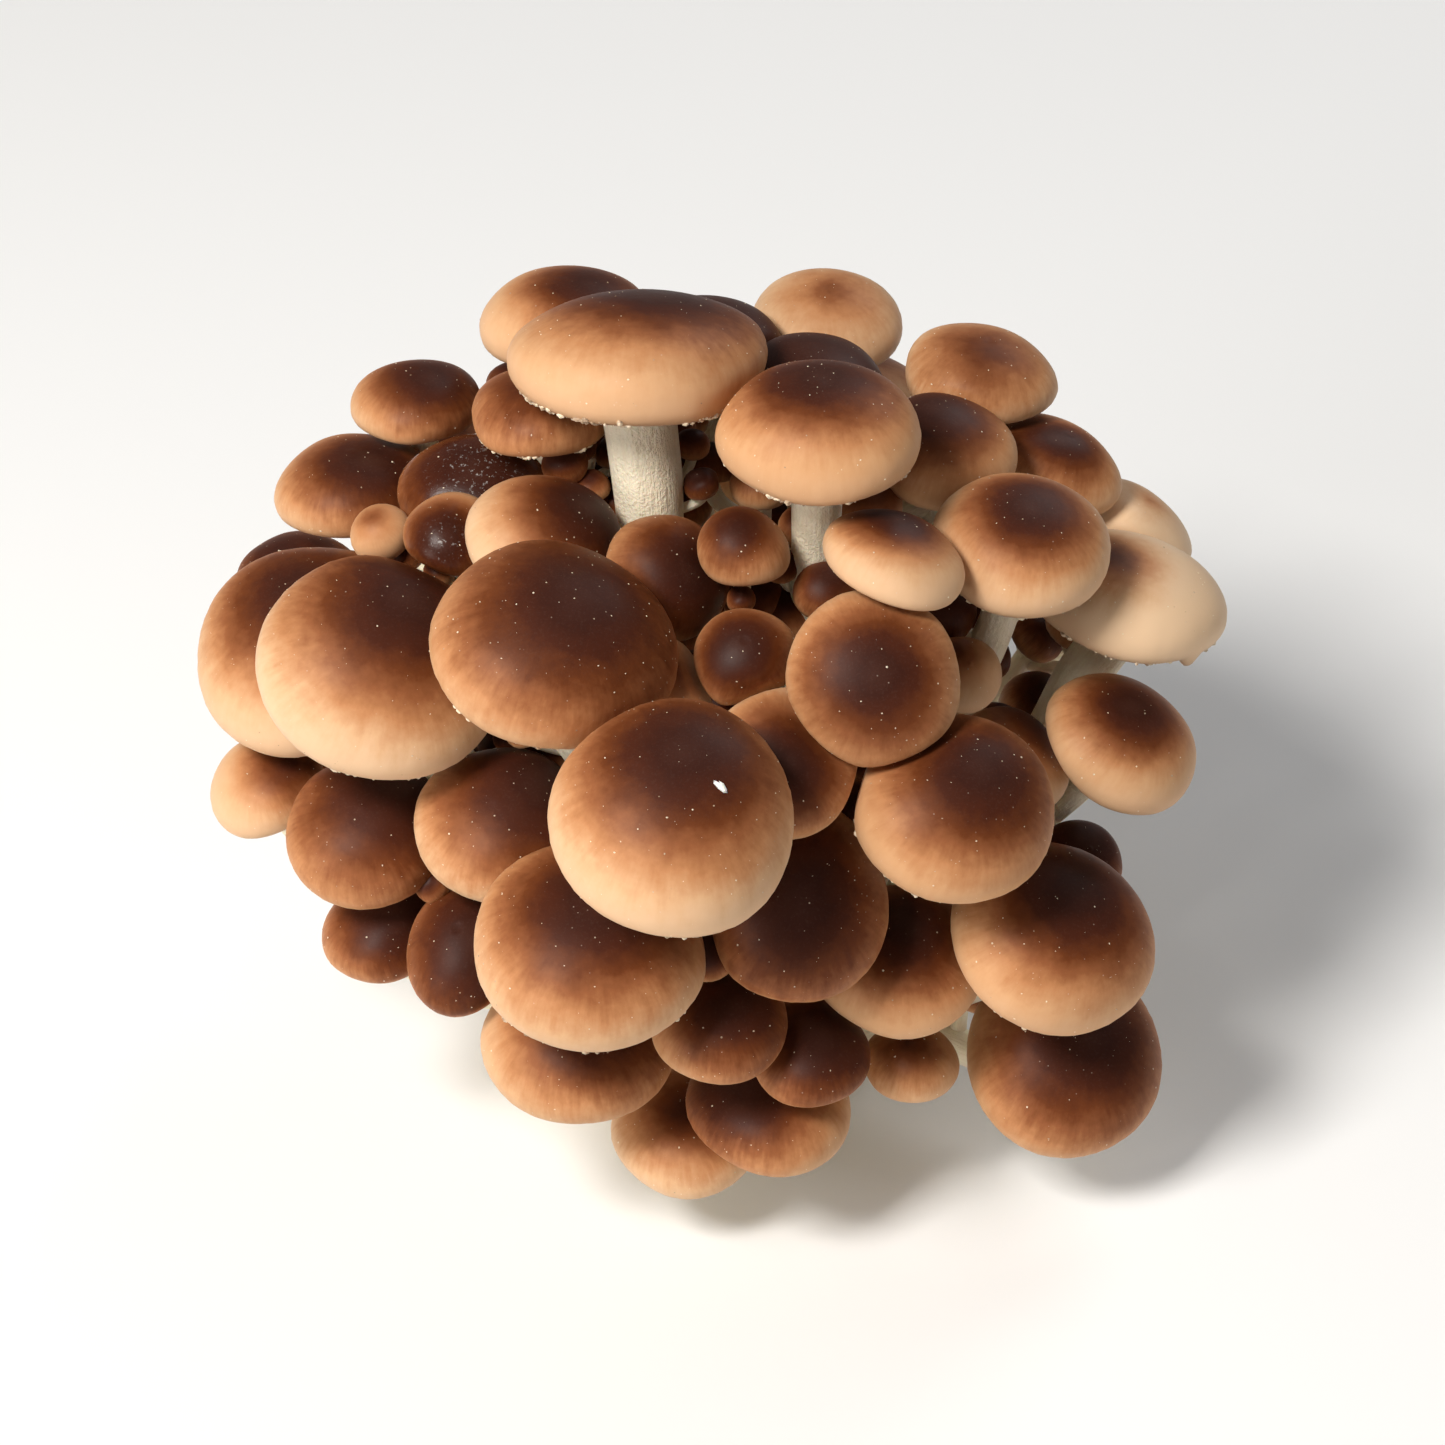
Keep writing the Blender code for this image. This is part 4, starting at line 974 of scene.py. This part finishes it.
STEM_SIDES = ((3.5, 32), (2.4, 22), (0, 16))   # least radius, how many sides the net of such a stem has
RUNT_SIDES = 10
STEM_STEPS, RUNT_STEPS = 7, 2         # how many rings its net has for each one of its path
RIDGE = 0.065                         # how ridged it is, as a share of its radius
COLLAR = 0.16                         # how much thicker it is where it enters the cap
GRAIN_APART = 31.7                    # sets each stem's fibres apart from the next one's
ridge_draw = np.random.default_rng(23)


def stem_net(k, head, steps, sides, ridge, flare):
    """The net of stem k from head mm above its hub down to its foot."""
    line = through(paths[k], steps)
    line = np.vstack([hubs[k] + leans[k] * head, hubs[k] + leans[k] * head / 2, line])
    way = unit(np.gradient(line, axis=0))
    length = np.concatenate([[0], np.cumsum(np.linalg.norm(np.diff(line, axis=0), axis=1))])
    x = unit(np.cross(way[0], [0.3, 0.9, 0.2]))
    xs = [x]
    for w in way[1:]:
        x = unit(x - (x @ w) * w)
        xs.append(x)
    xs = np.array(xs)
    ys = np.cross(way, xs)
    spot = np.clip(np.arange(len(line)) - 2, 0, None) / steps
    thick = stem_radius[k] * np.interp(spot, np.arange(RINGS), STEM_SHAPE)
    thick = thick * (1 + COLLAR * np.exp(-length / (0.5 * stem_radius[k] + 1)))
    thick = thick * (1 + flare * smooth(spot, RINGS - 3.0, RINGS - 1.0))
    theta = -np.arange(sides) / sides * math.tau
    phase = ridge_draw.uniform(0, math.tau, (5, 2))
    bumps = sum(np.sin(n * theta[None] + p + 0.5 * np.sin(length[:, None] / 11 + q) + 0.02 * length[:, None])
                for n, (p, q) in zip((2, 5, 8, 11, 3), phase)) / 5
    sway = 0.05 * np.sin(length / 9 + phase[0, 1]) + 0.03 * np.sin(length / 4 + phase[1, 1])
    width_here = thick[:, None] * (1 + ridge * bumps + sway[:, None])
    points = (line[:, None] + width_here[..., None] * (np.cos(theta)[None, :, None] * xs[:, None]
                                                       + np.sin(theta)[None, :, None] * ys[:, None]))
    grain = np.stack([width_here * np.cos(theta), width_here * np.sin(theta),
                      np.broadcast_to(length[:, None], width_here.shape)], -1) + GRAIN_APART * k
    down = np.broadcast_to((length / length[-1])[:, None], width_here.shape)
    ends = (line[:1], points.reshape(-1, 3), line[-1:])
    grain = np.vstack([grain[0, :1], grain.reshape(-1, 3), grain[-1, :1]])
    down = np.concatenate([[0], down.ravel(), [1]])
    return np.vstack(ends), quads(len(line), sides), {"grain": grain, "down": down}, None


def joined(name, nets, finishes):
    """One piece of several nets, each of points, faces, values on its points and finishes of its faces."""
    starts = np.concatenate([[0], np.cumsum([len(net[0]) for net in nets])]).tolist()
    faces = [tuple(v + start for v in face) for net, start in zip(nets, starts) for face in net[1]]
    values = {label: np.concatenate([net[2][label] for net in nets]) for label in nets[0][2]}
    which = [w for net in nets for w in (net[3] or [0] * len(net[1]))]
    return new_piece(name, np.vstack([net[0] for net in nets]), faces, finishes, values, which)


# runts, the small mushrooms that stayed behind between the grown ones. Where the view shows one it is given
# as across, up, radius, how far it stands out of the swell; the rest are sought along lines of sight that
# find a gap between the caps.
RUNTS_SEEN = [
    (-61.5, 34.0, 5.6, -3),
    (-56.5, 31.5, 4.2, -11),
    (-51.0, 27.0, 3.0, -9.5),
    (-28.4, 46.4, 4.2, -12.5),
    (-23.5, 42.5, 3.2, -17),
    (3.3, 22.2, 2.5, -7),
    (-2.6, -41.5, 5.0, -0.5),
    (5.5, 22.5, 5.4, -20),
    (-52.2, -29.2, 3.2, -9),
    (-0.6, 2.9, 3.3, -7.5),
]
STEM_SEEN = (55.0, 9.0, 11.0, -36)    # where the view shows a bare stem: across, up, how far around, how deep
CORE = np.array([0.0, 6.0, 35.0])     # a place deep in the stems, for telling in from out
RUNTS_FAN = np.array([0, 0, 40])      # what the runts lean away from
RUNT_TRIES = 5000
RUNT_RADII = (7.0, 5.4, 4.2, 3.2)
TRIES_EACH = 9                        # how many tries in a row each of these gets
RUNT_STEM = 0.36                      # radius of its stem, of its own
RUNT_HUB = 0.3                        # how far below its middle the stem begins, of its radius
RUNT_BEND = 0.45                      # how long its stem goes on squarely, of the way to its foot
RUNT_FALL = 4                         # how much lower its foot is than its head, at least
RUNT_LOWEST = 22                      # the least height of a runt
RUNT_AIR = 0.5                        # the least air between it and a grown cap
RUNT_SINK = 0.45                      # how near a stem's skin its middle is at the nearest, of its radius
RUNT_ROOM = 0.95                      # how near two runts are at the nearest, of their radii together
CROWD, CROWD_REACH = 5, 42            # it has at least so many caps within this reach;
SUNK = 4                              # half of them are at least this much farther out than it is,
SUNK_WELL, SUNK_WELL_CAPS = 9, 3      # and at least so many by more than this
SEARCH = (-70, 60, 2.0)               # the stretch of a line of sight that is searched, past the heart
SIGHT_ACROSS, SIGHT_UP = 88, 80       # how far from the heart such a line passes, at most

# from where those lines of sight look in: azimuth, elevation, how often
LOOKS = ((0, 36, 10), (-50, 15, 1), (50, 15, 1), (-95, 10, 1), (95, 10, 1), (180, 20, 1), (140, 15, 1),
         (-140, 15, 1))
half = np.stack([radius, radius * width, (height + roll) / 2], 1)
waist = centre + axis * ((height - roll) / 2)[:, None]
stem_spots = np.einsum("sr,krc->ksc", share_of, paths).reshape(-1, 3)
runt_draw = np.random.default_rng(8)
runts = []                            # centre, lean and radius of each


def room_beside_caps(point):
    """How far a point is from the nearest cap, about."""
    local = np.einsum("kij,kj->ki", own, point - waist)
    f = np.linalg.norm(local / half, axis=1)
    return ((1 - 1 / np.maximum(f, 1e-3)) * np.linalg.norm(local, axis=1)).min()


def hidden(origin, way):
    """Whether a cap stands in the way of this line of sight."""
    o = np.einsum("kij,kj->ki", own, origin - waist) / half
    d = np.einsum("kij,j->ki", own, way) / half
    t = -(o * d).sum(1) / (d * d).sum(1)
    return (np.linalg.norm(o + t[:, None] * d, axis=1) < 1).any()


bare_stem = on_view(STEM_SEEN[0], STEM_SEEN[1], STEM_SEEN[3])[0]


def runt_beyond(origin, way, r):
    """The first place along a line of sight, among the caps, where a runt of this radius has room."""
    for depth in np.arange(EYE + SEARCH[0], EYE + SEARCH[1], SEARCH[2]):
        point = origin + way * depth
        if point[2] < RUNT_LOWEST or room_beside_caps(point) < r + RUNT_AIR:
            continue
        sight = (point - VIEWER) * EYE / ((VIEWER - point) @ OUT)
        aside = math.hypot(sight @ ACROSS - STEM_SEEN[0], sight @ UP - STEM_SEEN[1])
        if aside < STEM_SEEN[2] and (point - bare_stem) @ OUT > 0:
            continue
        outwards = unit(point - CORE)
        near = np.linalg.norm(centre - point, axis=1) < CROWD_REACH
        above = (centre[near] - point) @ outwards
        if near.sum() < CROWD or np.median(above) < SUNK or (above > SUNK_WELL).sum() < SUNK_WELL_CAPS:
            continue
        if (np.linalg.norm(stem_spots - point, axis=1) - thick < RUNT_SINK * r).any():
            continue
        if all(np.linalg.norm(point - other) > RUNT_ROOM * (r + other_r) for other, _, other_r in runts):
            return point
    return None


def runt_lean(point, out):
    """Which way a runt points: away from the heart of the stems, upwards, and out to where it is seen."""
    return unit(0.5 * unit(point - RUNTS_FAN) + 0.4 * np.array([0, 0, 1]) + 0.35 * out)


for across, up, r, stands in RUNTS_SEEN:
    point = on_view(across, up, stands)[0]
    runts.append((point, runt_lean(point, OUT), r))
looks = [(math.radians(a), math.radians(e)) for a, e, often in LOOKS for _ in range(often)]
for n in range(RUNT_TRIES):
    azimuth, elevation = looks[n % len(looks)]
    out = np.array([math.sin(azimuth) * math.cos(elevation), -math.cos(azimuth) * math.cos(elevation),
                    math.sin(elevation)])
    aside = unit(np.cross([0.0, 0.0, 1.0], out))
    across = runt_draw.uniform(-SIGHT_ACROSS, SIGHT_ACROSS)
    up = runt_draw.uniform(-SIGHT_UP, SIGHT_UP)
    origin = HEART + EYE * out
    way = unit(HEART + across * aside + up * np.cross(out, aside) - origin)
    if hidden(origin, way):
        continue
    r = RUNT_RADII[n // TRIES_EACH % len(RUNT_RADII)]
    point = runt_beyond(origin, way, r)
    if point is not None:
        runts.append((point, runt_lean(point, out), r))

for point, lean, r in runts:
    hub = point - RUNT_HUB * r * lean
    below = stem_spots[stem_spots[:, 2] < hub[2] - RUNT_FALL]
    foot = below[np.argmin(np.linalg.norm(below - hub, axis=1))]
    bend = hub - lean * RUNT_BEND * np.linalg.norm(hub - foot)
    t = np.linspace(0, 1, RINGS)[:, None]
    path = (1 - t) ** 2 * hub + 2 * t * (1 - t) * bend + t * t * foot
    paths = np.concatenate([paths, path[None]])
    hubs = np.vstack([hubs, hub])
    leans = np.vstack([leans, lean])
    stem_radius = np.append(stem_radius, RUNT_STEM * r)

nets = []
for k in range(len(paths)):
    head = SET_IN + (OPEN_REACH * roll[k] if k < count and kinds[k] == "open" else VEILED_REACH)
    sides, steps = (graded(STEM_SIDES, stem_radius[k]), STEM_STEPS) if k < stems else (RUNT_SIDES, RUNT_STEPS)
    nets.append(stem_net(k, head, steps, sides, RIDGE, 0.0))
stem_piece = joined("stems", nets, (stem_finish,))
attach(stem_piece, "root")
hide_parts("stems_and_butt")

# The small heads. The buttons and the runts have the same skin as the grown caps, darker and still tight,
# each with a cream veil underneath.
HEAD_HEIGHT, HEAD_ROLL = 0.85, 0.4    # height of the dome and depth of the margin, of its radius
HEAD_SIDES, HEAD_COARSE = 22, 3       # how fine its net is: the sides, and one ring kept out of so many
HEAD_DARK, HEAD_SPREAD = (0.85, 1.05), (1.1, 1.7)    # how dark the crowns are, how far out the dark reaches
TAN_HEAD = (0.5, 1.0)                 # the same for the first runt seen, which is tan all over
heads = [(hubs[count + n] + RUNT_HUB * BUTTONS[n][2] * leans[count + n], leans[count + n], BUTTONS[n][2])
         for n in range(len(BUTTONS))] + runts
nets = []
for n, (point, lean, r) in enumerate(heads):
    points, faces, which, arc, angle = cap_net(r, HEAD_HEIGHT * r, HEAD_ROLL * r, "veiled", HEAD_SIDES,
                                               HEAD_COARSE)
    x = unit(np.cross(UP, lean))
    points = points @ np.stack([x, np.cross(lean, x), lean]) + point
    dark, spread = runt_draw.uniform(*HEAD_DARK), runt_draw.uniform(*HEAD_SPREAD)
    if n == len(BUTTONS):
        dark, spread = TAN_HEAD
    nets.append((points, faces, skin_values(100 + n, arc, angle, (0, 0), dark, spread, 0.2, 0.0), which))
small_heads = joined("small_mushroom_heads", nets, (skin_finish, veil_finish))
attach(small_heads, "root")

# The butt. The feet of all the stems swell and run together into one pale knot, cut flat underneath where
# the clump was taken off its block.
BUTT_VOXEL = 0.8                      # how finely the feet are run together
BUTT_SIDES = 64
BUTT_LOBES = ((3, 0.05, 0.6), (5, 0.03, 2.1))  # how many around, how large, where they begin
FOOT_SIDES, FOOT_STEPS, FOOT_RINGS = 12, 3, 8  # the net of a stem's foot, and how many of its rings count
FOOT_RIDGE, FOOT_FLARE = 0.06, 0.5    # how ridged it is, and how much it widens
FOOT_TAPER = (0.35, 0.8)              # its first rings are drawn in to this, hidden in the stem
CUT = 0.9                             # what is lower than this is cut flat
BUTT_CRUMB = (0.330, 0.220, 0.120)

# its outline before the feet run into it, from the top down: share of its radius, share of its height
BUTT_OUTLINE = [(0, 0.93), (0.42, 0.86), (0.75, 0.66), (0.93, 0.40), (0.97, 0.2), (0.93, 0)]
butt_finish, shader, tree = new_finish("butt_cream", 0.25, 0.10)
place = tree.node("ShaderNodeTexCoord", output=3)
strand = tree.noise(tree.stretched(place, (1, 1, 0.18)), 0.8 * MM, 4.0, 0.6)
lump = tree.noise(place, 6 * MM, 4.0, 0.6)
crumb = tree.noise(place, 0.6 * MM, 3.0, 0.7)
colour = tree.blend(strand.step(0.25, 0.60), STEM_SHADE, STEM_CREAM)
colour = tree.blend(lump.step(0.48, 0.72) * 0.5, colour, STEM_FOOT_AND_SHADE)
colour = tree.blend(crumb.step(0.66, 0.74) * 0.35, colour, BUTT_CRUMB)
relief = strand + lump * 1.5 + crumb * 0.6
coat(shader, tree, colour, 0.78 + (lump - 0.5) * 0.2, relief, 0.9, 0.35)

rough = bmesh.new()
theta = np.arange(BUTT_SIDES) / BUTT_SIDES * math.tau
lobed = sum((size * np.sin(n * theta + begin) for n, size, begin in BUTT_LOBES), 1.0)
body = np.array([(d * lobed * BUTT_RADIUS * np.cos(theta), d * lobed * BUTT_RADIUS * np.sin(theta),
                  np.full(BUTT_SIDES, z * BUTT_HEIGHT)) for d, z in BUTT_OUTLINE[1:]]).transpose(0, 2, 1)
body = np.vstack([[0, 0, BUTT_OUTLINE[0][1] * BUTT_HEIGHT], body.reshape(-1, 3), [0, 0, 0]])
scrap = bpy.data.meshes.new("scrap")
scrap.from_pydata(body.tolist(), [], quads(len(BUTT_OUTLINE) - 1, BUTT_SIDES))
rough.from_mesh(scrap)
for k in range(stems):
    points = stem_net(k, 0.0, FOOT_STEPS, FOOT_SIDES, FOOT_RIDGE, FOOT_FLARE)[0]
    points = points[-(FOOT_RINGS * FOOT_SIDES + 1):]
    points = np.vstack([points[:FOOT_SIDES].mean(0), points])
    for n, drawn_in in enumerate(FOOT_TAPER):
        ring = points[1 + n * FOOT_SIDES:1 + (n + 1) * FOOT_SIDES]
        ring[:] = ring.mean(0) + drawn_in * (ring - ring.mean(0))
    scrap.clear_geometry()
    scrap.from_pydata(points.tolist(), [], quads(FOOT_RINGS, FOOT_SIDES))
    rough.from_mesh(scrap)
rough.to_mesh(scrap)
rough.free()
knot = placed("knot", scrap)
melt = knot.modifiers.new("run_together", "REMESH")
melt.mode = "VOXEL"
melt.voxel_size = BUTT_VOXEL
ease = knot.modifiers.new("ease", "SMOOTH")
ease.iterations = 4
bpy.context.view_layer.update()
mesh = bpy.data.meshes.new_from_object(knot.evaluated_get(bpy.context.evaluated_depsgraph_get()))
bpy.data.objects.remove(knot)
flat = places_of(mesh)
flat[:, 2] = np.where(flat[:, 2] < CUT, 0, flat[:, 2])
mesh.vertices.foreach_set("co", (flat * MM).ravel())
mesh.materials.clear()
mesh.materials.append(butt_finish)
mesh.polygons.foreach_set("use_smooth", [True] * len(mesh.polygons))
mesh.update()
butt = placed("butt", mesh)
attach(butt, "root")

# The floor, the light and the room: a plain pale floor under soft studio light, the main one above and to
# the left of the camera.
FLOOR_HALF = 4.0                      # metres
FLOOR_PALE = (0.92, 0.92, 0.92)
ROOM_PALE = (1.0, 0.992, 0.98)
ROOM_LIGHT = 0.20
floor_mesh = bpy.data.meshes.new("floor")
floor_mesh.from_pydata([(-FLOOR_HALF, -FLOOR_HALF, 0), (FLOOR_HALF, -FLOOR_HALF, 0),
                        (FLOOR_HALF, FLOOR_HALF, 0), (-FLOOR_HALF, FLOOR_HALF, 0)], [], [(0, 1, 2, 3)])
floor = placed("floor", floor_mesh)
floor_finish, shader, tree = new_finish("floor_pale")
coat(shader, tree, FLOOR_PALE, 0.9)
floor_mesh.materials.append(floor_finish)


def soft_light(name, place, size, power, colour):
    """A square lamp at a place in metres, facing the heart of the clump."""
    data = bpy.data.lights.new(name, "AREA")
    data.shape = "SQUARE"
    data.size = size
    data.energy = power
    data.color = colour
    lamp = placed(name, data)
    lamp.location = place
    lamp.rotation_euler = (Vector(HEART) * MM - Vector(place)).to_track_quat("-Z", "Y").to_euler()


soft_light("key", (-0.60, -0.66, 1.15), 0.40, 20, (1.0, 0.97, 0.92))
soft_light("side", (-0.98, -0.86, 0.38), 0.5, 5.5, (1.0, 0.97, 0.93))
soft_light("back", (0.6, 0.9, 0.9), 0.6, 4, (0.95, 0.97, 1.0))
room = bpy.data.worlds.new("room")
room.use_nodes = True
room.node_tree.nodes["Background"].inputs["Color"].default_value = (*ROOM_PALE, 1)
room.node_tree.nodes["Background"].inputs["Strength"].default_value = ROOM_LIGHT
bpy.context.scene.world = room
bpy.context.scene.view_settings.view_transform = "Standard"
